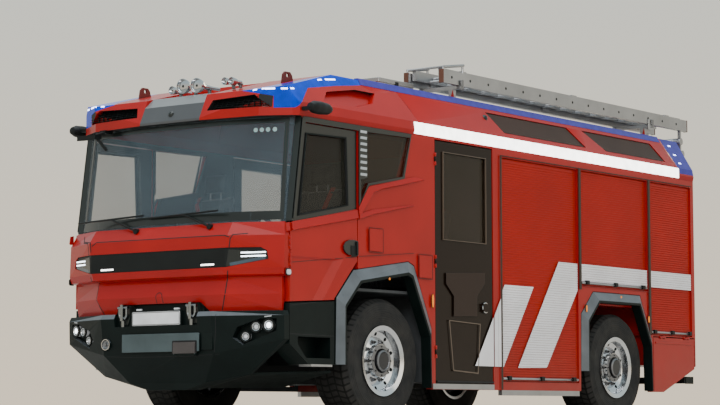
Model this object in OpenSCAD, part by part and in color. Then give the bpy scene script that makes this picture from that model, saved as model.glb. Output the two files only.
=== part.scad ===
// Two-axle electric fire engine with a forward crew cab, roller shutter lockers and a roof ladder.
// Millimetres, +Z up, the nose points along -Y, the vehicle's left side is at +X.
// Every module below is drawn with y = 0 at the front axle; placed() then centres the vehicle on the origin.

/* [Overall] */
// Width over the body sides
body_w = 2350; // [2300:10:2500]
// Distance between the axles
wheelbase = 3900; // [3800:20:4200]
// Bumper nose ahead of the front axle
front_overhang = 1610; // [1580:10:1660]
// Rear wall behind the rear axle
rear_overhang = 1600; // [1500:10:1700]
// Rear end of the ladder behind the rear wall
ladder_overhang = 200; // [150:10:300]
// Lower edge of the roof fascia above the ground
eave_z = 2490; // [2470:5:2520]
// Height of the fascia between the eave and the roof slope
fascia_h = 115; // [100:5:130]
// Top edge of the roof above the ground
ridge_z = 2917; // [2880:5:2960]
// Half the width of the roof between its top edges
ridge_half = 1000; // [960:5:1030]
// Lower edge of the bodywork above the ground
sill_z = 290; // [270:5:320]

/* [Panels] */
// Thickness of the doors and the cab walls
wall_t = 60; // [50:1:70]
// Thickness of the roof shell
roof_t = 50; // [40:1:60]
// Gap round doors, hatches and flaps
door_gap = 10; // [8:1:14]
// Thickness of the glass
glass_t = 10; // [6:1:14]

/* [Wheels] */
// Outer radius of the tyres
tyre_r = 525; // [510:1:540]
// Width of the tyres
tyre_w = 385; // [355:5:395]
// Outer radius of the rim flange
rim_r = 298; // [290:1:302]
// Distance between the wheel centre planes of one axle
track = 1915; // [1900:5:1930]
// Distance of each kingpin from the centre plane
kingpin_x = 800; // [790:1:810]
// Radius of the kingpins
kingpin_r = 24; // [20:1:28]
// Radius of the wheel spindles
spindle_r = 42; // [38:1:48]
// Length of the steering arms behind the kingpins
steer_arm = 130; // [120:2:140]

/* [Frame] */
// Outer distance between the frame rails
frame_w = 850; // [830:5:860]
// Height of the frame rails
rail_h = 200; // [180:5:220]
// Underside of the frame rails above the ground
rail_z = 640; // [630:5:660]

/* [Lockers] */
// Front edge of the first shutter behind the front axle
shutter_y = 1795; // [1790:1:1810]
// Width of the first shutter
shutter_a_w = 1360; // [1340:5:1370]
// Width of the second shutter, over the rear wheel
shutter_b_w = 1310; // [1290:5:1320]
// Width of the third shutter, behind the rear wheel
shutter_c_w = 880; // [860:5:890]
// Width of the guide rails between the shutters
guide_w = 45; // [40:1:50]
// Top edge of the shutters above the ground
shutter_top = 2415; // [2400:5:2425]
// Width of the rear hatch
hatch_w = 1240; // [1200:10:1260]

/* [Ladder] */
// Length of the stowed ladder
ladder_l = 4580; // [4400:20:4800]
// Width over the stowed ladder
ladder_w = 430; // [410:5:450]
// Height of the outer ladder rails
ladder_rail_h = 120; // [110:2:130]
// Number of rungs in the outer ladder section
rungs = 15; // [13:1:16]

/* [Hidden] */
$fn = 48;

overall_l = front_overhang + wheelbase + rear_overhang + ladder_overhang;
half_w = body_w / 2;
nose_y = -front_overhang;
inner_x = half_w - wall_t;
rear_y = wheelbase + rear_overhang;
fascia_z = eave_z + fascia_h;
rail_x = frame_w / 2;
rail_t = 65;
axle_z = tyre_r;
fit_gap = 0.3;
bearing_gap = 0.08;
spindle_end = track / 2 + 100;

// Front door: front edge, rear edge, and the line where paint meets window frame
door_y0 = -1306;
door_y1 = -405;
door_top = eave_z - 55;
door_belt_z0 = 1612;
door_belt_z1 = 1782;
// Crew door behind the front wheel
crew_y0 = 748;
crew_y1 = 1655;
crew_z0 = 346;
crew_z1 = 2470;
// Rear wall of the crew cab
cabin_end = 1725;
bulkhead_t = 40;
// Windscreen: base and top heights, half width, centre stations, depth of the curve and thickness
screen_z0 = 1620;
screen_z1 = eave_z - 2;
screen_corner_x = inner_x - 3;
screen_base_y = -1500;
screen_top_y = -1385;
screen_bow = 208;
screen_t = 14;
// Cab roof: front lip, top of its front face, start of the level roof and the seam to the body roof
lip_y = -1441;
pod_face_z = 2715;
pod_face_y = -1345;
roof_level_y = -473;
roof_seam_y = 465;
roof_seam_lean = 130;
trough_half = 328;
trough_z = 2735;
// Floors
floor_z = rail_z + rail_h + 20;
floor_t = 40;
well_z = 390;
wheel_box_y = 655;
wheel_box_z = 1130;
wheel_box_x = 440;
box_t = 14;
// Flares: outer and inner outlines round each wheel, as [y, z] from the wheel's axle line
front_flare = [[-707, 480], [-695, 1032], [-459, 1270], [329, 1380], [418, 1347], [677, 822], [677, 300]];
front_arch = [[-602, 480], [-602, 950], [-392, 1160], [274, 1258], [335, 1235], [600, 740], [615, 300]];
rear_flare = [[-707, 480], [-695, 1032], [-470, 1250], [320, 1250], [445, 1250], [677, 822], [677, 300]];
rear_arch = [[-602, 480], [-602, 950], [-400, 1145], [300, 1145], [375, 1145], [600, 740], [615, 300]];
arch_gap = 4;
flare_out = 40;
flare_depth = wall_t - fit_gap;
// Shutters and the lockers below them
shutter_b_y = shutter_y + shutter_a_w + guide_w;
shutter_c_y = shutter_b_y + shutter_b_w + guide_w;
shutter_end = shutter_c_y + shutter_c_w;
shutter_a_z = sill_z + 75;
shutter_b_z = 1300;
shutter_c_z = 862;
shutter_depth = 22;
shutter_seat = 16;
flap_top = 840;
flap_y0 = wheelbase + 712;
flap_y1 = rear_y - 30;
departure_y = rear_y - 700;
departure_z = 560;
hatch_z0 = 900;
hatch_z1 = 2400;
hatch_t = 50;
slope_y = rear_y - 40;
// Ladder
ladder_y1 = rear_y + ladder_overhang;
ladder_y0 = ladder_y1 - ladder_l;
ladder_x1 = 1010;
ladder_x0 = ladder_x1 - ladder_w;
ladder_z = 3045;
deck_z = ridge_z - 47;
// Light strips: front and rear ends of the white one, and heights of the blue one on the roof's top edge
strip_y0 = 425;
strip_y1 = rear_y - 318;
ridge_strip_y0 = -153;
ridge_strip_z0 = ridge_z - 47;
ridge_strip_z1 = ridge_z + 15;
// Traction battery between the cab and the rear axle
battery_y0 = cabin_end + 125;
battery_y1 = wheelbase - 950;

// Moves a module from the front axle's frame to the vehicle's own
module placed() translate([0, front_overhang - overall_l / 2, 0]) children();

// Draws a child on the vehicle's left and again on its right
module both() {
    children();
    mirror([1, 0, 0]) children();
}

// Draws a child on the right-hand side if side is -1
module on_side(side) {
    if (side > 0) children();
    else mirror([1, 0, 0]) children();
}

// Side outline of [y, z] points, extruded from x0 to x1
module side(points, x0, x1) translate([x0, 0, 0]) rotate([90, 0, 90]) linear_extrude(x1 - x0) polygon(points);

// Front outline of [x, z] points, extruded from y0 to y1
module across(points, y0, y1) translate([0, y1, 0]) rotate([90, 0, 0]) linear_extrude(y1 - y0) polygon(points);

// Plan outline of [x, y] points, extruded from z0 to z1
module level(points, z0, z1) translate([0, 0, z0]) linear_extrude(z1 - z0) polygon(points);

// Box given by its two corners
module block(low, high) translate(low) cube(high - low);

// Solid between outlines of equal point count, given as lists of [x, y, z] anticlockwise from above.
// The two triangles of each face lean the same way on the left as on the right.
module loft(rings) {
    n = len(rings[0]);
    last = len(rings) - 1;
    polyhedron(
        points = [for (ring = rings) for (p = ring) p],
        faces = concat(
            [[for (i = [0 : n - 1]) i]],
            [[for (i = [n - 1 : -1 : 0]) last * n + i]],
            [for (k = [0 : last - 1]) for (i = [0 : n - 1])
                let (j = (i + 1) % n, a = k * n + i, b = a + n, d = k * n + j, c = d + n,
                    left = rings[k][i][0] + rings[k][j][0] < 0)
                each left ? [[a, b, c], [a, c, d]] : [[a, b, d], [b, c, d]]]),
        convexity = 6);
}

// Side outline at x0 blended into a second one at x1; both run clockwise as seen from +X
module side_taper(points0, x0, points1, x1)
    loft([[for (p = points1) [x1, p[0], p[1]]], [for (p = points0) [x0, p[0], p[1]]]]);

// Straight bar of round section between two points
module bar(a, b, r) {
    d = b - a;
    translate(a) rotate([0, acos(d[2] / norm(d)), atan2(d[1], d[0])]) cylinder(r = r, h = norm(d), $fn = 24);
}

// Offsets a line of [y, z] points sideways, for the seams between panels
function moved(points, dy, dz) = [for (p = points) [p[0] + dy, p[1] + dz]];

// Plan outline of the cab front: front plane, two chamfers, two sides
function front_ring(z, front, chamfer_x, corner_y, half, back) = [
    [-half, back, z], [-half, corner_y, z], [-chamfer_x, front, z],
    [chamfer_x, front, z], [half, corner_y, z], [half, back, z]];

// Door hinges: the pin stands at the origin along +Z and the opening piece lies beside it.
// The fixed side holds the pin in two lugs, and the opening piece has one knuckle between them.
hinge_l = 110;
lug_l = 30;
pin_r = 7;
lug_r = 11;
swing_gap = 5.5;

module hinge_fixed() {
    cylinder(r = pin_r, h = hinge_l);
    for (z = [0, hinge_l - lug_l]) translate([0, 0, z]) cylinder(r = lug_r, h = lug_l);
}
module hinge_fixed_room() translate([0, 0, lug_l]) cylinder(r = lug_r + swing_gap, h = hinge_l - 2 * lug_l);
module hinge_knuckle() translate([0, 0, lug_l + swing_gap]) cylinder(r = lug_r, h = hinge_l - 2 * (lug_l + swing_gap));
module hinge_knuckle_room() {
    translate([0, 0, -swing_gap]) cylinder(r = pin_r + bearing_gap, h = hinge_l + 2 * swing_gap);
    for (z = [-swing_gap, hinge_l - lug_l - swing_gap]) translate([0, 0, z])
        cylinder(r = lug_r + swing_gap, h = lug_l + 2 * swing_gap);
}

module at_front_hinges() for (z = [1256, 1396]) translate([half_w + 2, door_y0 - door_gap / 2, z]) children();
module at_crew_hinges() for (z = [560, 1350, 2250]) translate([half_w + 2, crew_y0 - door_gap / 2, z]) children();
module at_flap_hinges() for (y = [flap_y0 + 120, flap_y1 - 230])
    translate([half_w + 2, y, flap_top + door_gap / 2]) rotate([-90, 0, 0]) children();
module at_hatch_hinges() for (x = [-420, 310])
    translate([x, rear_y + 2, hatch_z1 + door_gap / 2]) rotate([0, 90, 0]) children();

// Chassis

module chassis_frame() color("dimgray") {
    rail_y0 = -1330;
    rail_y1 = rear_y - 60;
    both() difference() {
        block([rail_x - rail_t, rail_y0, rail_z], [rail_x, rail_y1, rail_z + rail_h]);
        block([rail_x - rail_t - 1, rail_y0 + 20, rail_z + 10], [rail_x - 10, rail_y1 - 20, rail_z + rail_h - 10]);
    }
    for (y = [-1310, -620, 480, 1700, wheelbase - 620, wheelbase + 480, rail_y1 - 60])
        block([-rail_x + 10, y, rail_z + 35], [rail_x - 10, y + 60, rail_z + rail_h - 35]);
    // Outriggers that carry the body
    for (y = [battery_y0 + 50, (battery_y0 + battery_y1) / 2 - 25, wheelbase - 850, wheelbase + 800, wheelbase + 1350]) both()
        block([rail_x, y, rail_z + rail_h - 60], [rail_x + 620, y + 50, rail_z + rail_h]);
}

module suspension_arm(y_far) {
    // Trailing link from a frame bracket to the axle seat, and the air bellows above the seat
    translate([rail_x - 32, 0, 0]) {
        bar([0, y_far, rail_z - 90], [0, 0, axle_z - 20], 24);
        block([-30, y_far - 40, rail_z - 130], [30, y_far + 40, rail_z - fit_gap]);
        translate([0, 0, axle_z + 20]) cylinder(r = 72, h = rail_z - axle_z - 20 - fit_gap);
    }
}

module front_axle() color("gray") {
    eye_h = 86;
    both() difference() {
        union() {
            across([[0, 400], [560, 400], [720, axle_z - eye_h / 2], [kingpin_x - 40, axle_z - eye_h / 2],
                [kingpin_x - 40, axle_z + eye_h / 2], [700, axle_z + eye_h / 2], [540, 520], [0, 520]], -55, 55);
            translate([kingpin_x, 0, axle_z - eye_h / 2]) cylinder(r = 58, h = eye_h);
            suspension_arm(-560);
        }
        translate([kingpin_x, 0, 0]) cylinder(r = kingpin_r + bearing_gap, h = 2 * tyre_r);
    }
}

module rear_axle() color("gray") {
    both() {
        translate([0, wheelbase, axle_z]) rotate([0, 90, 0]) cylinder(r = 78, h = 700);
        translate([700, wheelbase, axle_z]) rotate([0, 90, 0]) cylinder(r = 110, h = 40);
        translate([700, wheelbase, axle_z]) rotate([0, 90, 0]) cylinder(r = spindle_r, h = spindle_end - 700);
        translate([0, wheelbase, 0]) suspension_arm(-560);
    }
    translate([0, wheelbase, axle_z]) rotate([0, 90, 0]) translate([0, 0, -110])
        rotate_extrude() polygon([[0, 0], [130, 0], [190, 50], [190, 170], [130, 220], [0, 220]]);
}

module traction_battery() color("darkslategray")
    both() block([rail_x + 15, battery_y0, 330], [rail_x + 560, battery_y1, rail_z + rail_h - 60 - fit_gap]);

// Steering and wheels

module knuckle(side) color("gray") on_side(side) {
    fork_h = 45;
    eye_top = axle_z + 45;
    difference() {
        union() {
            // Two ears above and below the axle's eye, joined outboard of it
            for (z = [eye_top + 3, axle_z - 45 - 3 - fork_h])
                translate([kingpin_x, 0, z]) hull() {
                    cylinder(r = 52, h = fork_h, $fn = 32);
                    translate([40, 0, 0]) cylinder(r = 52, h = fork_h, $fn = 32);
                }
            block([kingpin_x + 66, -70, axle_z - 45 - 3 - fork_h], [kingpin_x + 100, 70, eye_top + 3 + fork_h]);
        }
        translate([kingpin_x, 0, 0]) cylinder(r = kingpin_r - 4, h = 2 * tyre_r);
    }
    translate([kingpin_x, 0, axle_z - 110]) cylinder(r = kingpin_r, h = 220);
    translate([kingpin_x + 90, 0, axle_z]) rotate([0, 90, 0])
        cylinder(r = spindle_r, h = spindle_end - kingpin_x - 90);
    // Steering arm that runs back to the tie rod pin
    arm_z = axle_z - 45 - 3 - fork_h;
    block([kingpin_x - 20, 30, arm_z], [kingpin_x + 20, steer_arm + 20, arm_z + 30]);
    translate([kingpin_x, steer_arm, arm_z - 60]) cylinder(r = 14, h = 70);
}

module tie_rod() color("silver") {
    eye_z = axle_z - 45 - 3 - 45 - 42;
    difference() {
        union() {
            bar([-kingpin_x + 20, steer_arm, eye_z], [kingpin_x - 20, steer_arm, eye_z], 15);
            both() translate([kingpin_x, steer_arm, eye_z - 16]) cylinder(r = 24, h = 32);
        }
        both() translate([kingpin_x, steer_arm, eye_z - 40]) cylinder(r = 14 + bearing_gap, h = 80);
    }
}

// Rim drawn round its own axis with the outer face up, at the wheel's centre plane
seat_r = rim_r - 14;
rim_profile = [[spindle_r + bearing_gap, -50], [spindle_r + bearing_gap, 115], [105, 115], [105, 168], [140, 168],
    [140, 120], [205, 100], [248, 118], [258, 180], [rim_r, 192], [rim_r, 178], [seat_r, 174], [seat_r, 140],
    [262, 112], [262, -118], [seat_r, -144], [seat_r, -178], [rim_r, -182], [rim_r, -192], [272, -188],
    [250, -122], [250, 72], [205, 62], [150, 82], [140, -50]];
hand_holes = 10;

module rim() difference() {
    rotate_extrude($fn = 64) polygon(rim_profile);
    for (i = [0 : hand_holes - 1]) rotate([0, 0, i * 360 / hand_holes]) translate([228, 0, 40])
        cylinder(r = 16, h = 100, $fn = 24);
}

module hub_cap() {
    translate([0, 0, 114]) cylinder(r = 88, h = 70);
    translate([0, 0, 184]) cylinder(r = 70, h = 12);
}

module tyre() rotate_extrude($fn = 64) polygon([
    [seat_r + fit_gap, -173], [rim_r + 4, -177], [420, -tyre_w / 2], [494, -184], [tyre_r, -142],
    [tyre_r, 142], [494, 184], [420, tyre_w / 2], [rim_r + 4, 177], [seat_r + fit_gap, 173]]);

// Stands a wheel piece, drawn with its outer face up, on its axle
module on_wheel(side, y) on_side(side) translate([track / 2, y, axle_z]) rotate([0, 90, 0]) children();

module wheel_rim(side, y) {
    color("silver") on_wheel(side, y) rim();
    color("black") on_wheel(side, y) hub_cap();
}

module wheel_tyre(side, y) color([0.08, 0.08, 0.08]) on_wheel(side, y) tyre();

// Front bumper and what it carries

// columns: height of the middle, height of the corner, front plane, chamfer start, corner, half width
bumper_sections = [
    [278, 278, nose_y + 170, 200, -1400, 260],
    [336, 397, nose_y + 160, 413, -1345, 791],
    [567, 675, nose_y + 45, 600, -1379, half_w],
    [867, 867, nose_y, 600, -1385, half_w],
    [905, 905, nose_y + 20, 600, -1376, half_w - 12]];
bumper_back = -1318;
bumper_top = 905;
plate_w = 520;
plate_h = 120;
plate_z = 862;
plate_y = nose_y + 18;
shelf_z = 800;
shelf_y = nose_y + 50;
tow_x = 373;
tow_z = 960;
lamp_depth = 45;
// columns: along the slanted face, up, radius
lamp_spots = [[121, 42, 46], [9, 31, 40], [-82, -45, 38]];
// Skid tray behind the bumper: place, half width and height of its flat bottom, then of its edge
tray_sections = [[bumper_back - 12, 300, 290, 760, 395], [-740, 660, 300, half_w - 25, 414]];
tray_t = 14;
tray_lip = 18;

function bumper_ring(s) = [
    [-s[5], bumper_back, s[1]], [-s[5], s[4], s[1]], [-s[3], s[2], s[0]],
    [s[3], s[2], s[0]], [s[5], s[4], s[1]], [s[5], bumper_back, s[1]]];

// Section of the tray, set in by t
function tray_ring(s, y, t) = let (x0 = s[1] - t * 0.3, x1 = s[3] - t * 1.2, top = s[4] + (t > 0 ? 60 : tray_lip)) [
    [x0, y, s[2] + t], [-x0, y, s[2] + t], [-x1, y, s[4] + t * 0.9], [-x1, y, top], [x1, y, top], [x1, y, s[4] + t * 0.9]];

// Frame of the slanted recess at the left corner, with its floor at z = 0 and its mouth towards +Z
module at_lamps() translate([935, nose_y + 145, 745]) rotate([90, 0, 14]) translate([0, 0, -10 - lamp_depth]) children();

module lamp_pocket() at_lamps() linear_extrude(lamp_depth + 100)
    polygon([[-185, -55], [-100, -112], [120, -30], [190, 0], [190, 96], [50, 96], [-140, 30]]);

module skid_tray() difference() {
    loft([for (s = tray_sections) tray_ring(s, s[0], 0)]);
    loft([tray_ring(tray_sections[0], tray_sections[0][0] + 13, tray_t), tray_ring(tray_sections[1], tray_sections[1][0] - tray_t, tray_t)]);
}

module front_bumper() color([0.1, 0.11, 0.12]) {
    difference() {
        union() {
            loft([for (s = bumper_sections) bumper_ring(s)]);
            // Raised middle under the notch of the cab front
            across([[-512, bumper_top - 5], [-430, bumper_top + 75], [430, bumper_top + 75], [512, bumper_top - 5]],
                nose_y + 105, nose_y + 164);
            // Winch cover, the box of its hook, and the horn beside them
            across([[-365, 600], [-352, 588], [457, 588], [470, 600], [470, 723], [457, 735], [-352, 735], [-365, 723]],
                nose_y + 10, nose_y + 70);
            across([[205, 562], [215, 552], [426, 552], [436, 562], [436, 647], [426, 657], [215, 657], [205, 647]],
                nose_y + 2, nose_y + 70);
            translate([-556, nose_y + 50, 657]) rotate([90, 0, 0]) cylinder(r = 48, h = 32);
        }
        both() lamp_pocket();
        // Shelf of the number plate and the shackles
        block([-450, nose_y - 60, shelf_z], [450, shelf_y, bumper_top + 55]);
        // Slot of the winch hook and the horn's mouth
        block([-250, nose_y - 60, 640], [150, nose_y + 30, 690]);
        block([235, nose_y - 60, 585], [406, nose_y + 22, 625]);
        translate([-556, nose_y + 29, 657]) rotate([90, 0, 0]) cylinder(r = 36, h = 60);
        // Room behind the skin for the frame ends
        block([-rail_x - 15, -1400, 620], [rail_x + 15, bumper_back + 1, 960]);
    }
    // Carrier of the number plate
    block([-plate_w / 2 - 10, plate_y, plate_z - plate_h / 2], [plate_w / 2 + 10, shelf_y + 1, plate_z + plate_h / 2]);
    skid_tray();
}

module bumper_lamps() color("white") both() at_lamps() for (s = lamp_spots) translate([s[0], s[1], fit_gap]) {
    cylinder(r = s[2] * 0.7, h = 12, $fn = 32);
    translate([0, 0, 11]) cylinder(r = s[2], h = lamp_depth - 13, $fn = 32);
}

module tow_shackles() color("silver") both() {
    pin_y = shelf_y - 22;
    bow_r = 38;
    bow_z = tow_z - 55;
    // Lug on the bumper shelf, the pin through it and the bow that hangs on the pin
    difference() {
        block([tow_x - 14, pin_y - 22, shelf_z + fit_gap], [tow_x + 14, shelf_y - fit_gap, tow_z + 25]);
        block([tow_x - 15, pin_y - 23, shelf_z - 1], [tow_x + 15, pin_y - 4, shelf_z + 50]);
    }
    translate([tow_x - 54, pin_y, tow_z]) rotate([0, 90, 0]) cylinder(r = 12, h = 108, $fn = 24);
    for (side = [-1, 1]) translate([tow_x + side * bow_r, pin_y, bow_z - 1]) cylinder(r = 11, h = tow_z - bow_z, $fn = 16);
    intersection() {
        translate([tow_x, pin_y, bow_z]) rotate([90, 0, 0]) rotate_extrude($fn = 32) translate([bow_r, 0]) circle(r = 11, $fn = 16);
        block([tow_x - 60, pin_y - 20, bow_z - 60], [tow_x + 60, pin_y + 20, bow_z]);
    }
}

// Cab front

// columns: height, front plane, chamfer start, corner, half width
wiper_x = [-270, 530];
wiper_z = 1594;
panel_sections = [
    [906, -1512, 664, -1332, half_w - 63],
    [1040, -1560, 690, -1350, half_w - 45],
    [1180, -1520, 700, -1340, half_w - 57],
    [1195, -1585, 708, -1372, half_w - 10],
    [1250, -1600, 715, -1385, half_w],
    [1510, -1590, 755, -1372, half_w],
    [screen_z0, -1512, 748, -1330, half_w - 40]];
band_z0 = 1254;
band_z1 = 1412;
band_depth = 26;
band_front = [733, -1597];
band_corner = [half_w, -1379];

module front_volume() loft([for (s = panel_sections)
    front_ring(s[0], s[1], s[2], s[3], s[4], door_y0 - door_gap)]);

// Upright prism that follows the cab front at the height of the headlamps, set back by d
module band_prism(d) level([[-band_corner[0], -1300], [-band_corner[0], band_corner[1] + d], [-band_front[0], band_front[1] + d],
    [band_front[0], band_front[1] + d], [band_corner[0], band_corner[1] + d], [band_corner[0], -1300]], band_z0 - 20, band_z1 + 20);

// Dark band with the headlamps, cut square to the front
module band_region(y0, y1) across([[129 - half_w, band_z1 - 26], [115 - half_w, band_z0 + 62], [-735, band_z0], [735, band_z0],
    [half_w - 115, band_z0 + 62], [half_w - 129, band_z1 - 26], [half_w - 175, band_z1], [175 - half_w, band_z1]], y0, y1);

module lamp_region(y0, y1) across([[742, band_z0 + 8], [half_w - 125, band_z0 + 66],
    [half_w - 137, band_z1 - 32], [760, band_z1 - 14]], y0, y1);

module cab_front_panel() color("firebrick") {
    difference() {
        front_panel_body();
        both() at_front_hinges() hinge_fixed_room();
    }
    both() at_front_hinges() hinge_fixed();
}

module front_panel_body() difference() {
    front_volume();
    level([[-inner_x + 30, -1200], [-inner_x + 30, -1300], [-640, -1455], [640, -1455], [inner_x - 30, -1300],
        [inner_x - 30, -1200]], 860, screen_z0 + 40);
    difference() {
        band_region(-1700, -1385);
        band_prism(band_depth);
    }
    // Notch over the raised middle of the bumper
    across([[-522, bumper_top - 5], [-436, bumper_top + 80], [436, bumper_top + 80], [522, bumper_top - 5]], nose_y - 90, nose_y + 170);
    // Seats of the wiper spindles
    for (x = wiper_x) translate([x, -1490, wiper_z]) rotate([90, 0, 0]) cylinder(r = 22 + fit_gap, h = 200);
}

module headlamp_band() color([0.08, 0.09, 0.09]) difference() {
    intersection() {
        band_region(-1700, -1385.3);
        band_prism(6);
    }
    band_prism(band_depth - fit_gap);
    both() lamp_region(-1700, -1300);
}

module headlamps() color("white") both() difference() {
    intersection() {
        lamp_region(-1700, -1385.3);
        band_prism(3);
    }
    band_prism(band_depth - fit_gap);
}

screen_steps = 12;
screen_lean = atan((screen_top_y - screen_base_y) / (screen_z1 - screen_z0));
// Half curve of the windscreen in plan, set back by d: nearly flat in the middle and rounded at the corners
function screen_curve(d) = [for (i = [-screen_steps : screen_steps])
    let (t = i / screen_steps) [screen_corner_x * t, screen_bow * pow(abs(t), 2.6) + d]];
function reversed(list) = [for (i = [len(list) - 1 : -1 : 0]) list[i]];

module windscreen() color([0.5, 0.6, 0.65]) intersection() {
    translate([0, screen_base_y, screen_z0]) rotate([-screen_lean, 0, 0]) translate([0, 0, -100])
        linear_extrude(screen_z1 - screen_z0 + 200) polygon(concat(screen_curve(0), reversed(screen_curve(screen_t))));
    block([-half_w, -1700, screen_z0 + fit_gap], [half_w, -900, screen_z1]);
}

// Cab sides

side_glass_line = [[-366, 2440], [348, 2452], [238, 2106], [-264, 2010], [-366, 1845]];
side_seat_line = [[-380, 2462], [370, 2472], [260, 2083], [-254, 1987], [-380, 1790]];
crew_glass_line = [[862, 1605], [862, 2375], [1540, 2375], [1540, 1605]];
door_glass_line = [[-1196, 1672], [-1102, 2358], [-558, 2372], [-532, 1800]];
door_line = [[door_y0, 978], [door_y0, door_belt_z0], [-1240, door_belt_z0 + 10], [-1113, door_top], [door_y1, door_top],
    [door_y1, 1347], [-720, 1024], [-720, 1012]];

module cab_side(side) color("firebrick") on_side(side) {
    difference() {
        cab_side_wall();
        at_crew_hinges() hinge_fixed_room();
    }
    at_crew_hinges() hinge_fixed();
}

module cab_side_wall() difference() {
    union() {
        side([[-1290, screen_z0 + 1], [-1163, eave_z - 1], [cabin_end, eave_z - 1], [cabin_end, sill_z], [677 + arch_gap, sill_z],
            [677 + arch_gap, 824], [421, 1352], [330, 1380 + arch_gap], [-402, 1278 + arch_gap], [-402, screen_z0 + 1]],
            inner_x, half_w);
    }
    // Front door opening
    side([[-1420, 900], [-1420, screen_z0 + 8], [-1250, screen_z0 + 8], [-1123, door_top + door_gap],
        [door_y1 + door_gap, door_top + door_gap], [door_y1 + door_gap, 900]], inner_x - 1, half_w + 1);
    // Crew door opening
    side([[crew_y0 - door_gap, crew_z0 - door_gap], [crew_y0 - door_gap, crew_z1 + door_gap],
        [crew_y1 + door_gap, crew_z1 + door_gap], [crew_y1 + door_gap, crew_z0 - door_gap]], inner_x - 1, half_w + 1);
    // Side window and the seat for its glass
    side(side_glass_line, inner_x - 1, half_w - glass_t - 6);
    side(side_seat_line, half_w - glass_t - 6, half_w + 1);
    // Long bevel under the window
    side_taper([[-268, 2100], [200, 2190], [250, 2092], [-258, 1996]], half_w - 15,
        [[-269, 2101], [201, 2191], [312, 2034], [-214, 1936]], half_w + 2);
    side_taper([[-370, 2100], [-268, 2100], [-258, 1996], [-370, 1812]], half_w - 15,
        [[-371, 2101], [-269, 2101], [-214, 1936], [-371, 1720]], half_w + 2);
}

module fixed_glass() color([0.06, 0.07, 0.08]) {
    both() side([[-377, 2459], [366, 2468], [257, 2086], [-255, 1991], [-377, 1797]],
        half_w - glass_t - 6 + fit_gap, half_w - 6);
    both() roof_glass();
}

// Front door, crew door and their glass

module front_door(side) color("firebrick") on_side(side) difference() {
    union() {
        at_front_hinges() hinge_knuckle();
        side(door_line, inner_x, half_w - 8);
        side([[door_y0, 978], [door_y0, door_belt_z0], [door_y1, door_belt_z1], [door_y1, 1347], [-720, 1024],
            [-720, 1012]], half_w - 9, half_w);
        // Pull handle
        side([[-520, 1380], [-520, 1470], [-440, 1470], [-440, 1380]], half_w - 9, half_w + 24);
    }
    side(door_glass_line, inner_x - 1, half_w);
    side(moved(door_glass_line, 0, 0), half_w - 24, half_w);
    // Lower front facet pressed into the skin
    side_taper([[door_y0 + 40, 970], [door_y0 + 40, 1325], [-720, 1335], [-1010, 985]], half_w - 14,
        [[door_y0 + 26, 970], [door_y0 + 26, 1345], [-600, 1352], [-880, 992]], half_w + 0.5);
    at_front_hinges() hinge_knuckle_room();
}

module front_door_glass(side) color([0.3, 0.35, 0.36]) on_side(side)
    side([[-1193.5, 1675], [-1101, 2355.5], [-560.5, 2369], [-534.5, 1803]], half_w - 34, half_w - 24);

module crew_door(side) color([0.16, 0.13, 0.1]) on_side(side) difference() {
    union() {
        at_crew_hinges() hinge_knuckle();
        side([[crew_y0, crew_z0], [crew_y0, crew_z1], [crew_y1, crew_z1], [crew_y1, crew_z0]], inner_x, half_w - 4);
        side([[1470, 990], [1470, 1060], [1560, 1060], [1560, 990]], half_w - 5, half_w + 22);
    }
    side(crew_glass_line, inner_x - 1, half_w);
    // Finger recess behind the pull
    side([[1488, 980], [1488, 1046], [1545, 1046], [1545, 980]], half_w - 14, half_w + 12);
    at_crew_hinges() hinge_knuckle_room();
}

module crew_door_glass(side) color([0.12, 0.11, 0.1]) on_side(side)
    side([[865, 1608], [865, 2372], [1537, 2372], [1537, 1608]], half_w - 22, half_w - 12);

// Cab roof

// Outer volume of the whole roof: front outline, side outline and plan outline
module roof_volume(y0, y1, grow = 0) intersection() {
    across([[-half_w - grow, eave_z + grow / 4], [half_w + grow, eave_z + grow / 4], [half_w + 10 + grow, eave_z + 40],
        [half_w + grow, fascia_z], [ridge_half + grow, ridge_z + grow], [-ridge_half - grow, ridge_z + grow],
        [-half_w - grow, fascia_z], [-half_w - 10 - grow, eave_z + 40]], y0 - 100, y1 + 100);
    side([[lip_y - grow, eave_z - 30], [lip_y - grow, eave_z + 20], [pod_face_y - grow, pod_face_z + grow],
        [roof_level_y, ridge_z + 15 + grow], [slope_y + grow, ridge_z + 15 + grow], [rear_y + grow, eave_z + 40],
        [rear_y + grow, eave_z - 30]], -half_w - 60, half_w + 60);
    level([[-half_w - 60, 6000], [-half_w - 60, -1130], [-1140 - grow, -1235 - grow], [-900, -1372 - grow],
        [-trough_half, lip_y - grow], [trough_half, lip_y - grow], [900, -1372 - grow], [1140 + grow, -1235 - grow],
        [half_w + 60, -1130], [half_w + 60, 6000]], eave_z - 40, ridge_z + 60);
}

module beacon_region() {
    // What the corner beacons take out of the roof: cut from the side and from the front
    both() intersection() {
        side([[-1500, eave_z + 62], [-1215, eave_z + 62], [-975, 2745], [-560, 2812], [ridge_strip_y0, 2866], [ridge_strip_y0, 3000],
            [-1500, 3000]], 600, half_w + 60);
        across([[half_w - 170, eave_z + 60], [half_w - 170, 2650], [700, 2712], [830, 2760], [960, ridge_z + 60],
            [half_w + 60, ridge_z + 60],
            [half_w + 60, eave_z + 60]], -1500, 0);
    }
}

seam_side = [[-1700, eave_z - 40], [-1700, 3100], [roof_seam_y - roof_seam_lean, 3100], [roof_seam_y - roof_seam_lean, ridge_z],
    [roof_seam_y + roof_seam_lean, eave_z - 40]];

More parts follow.
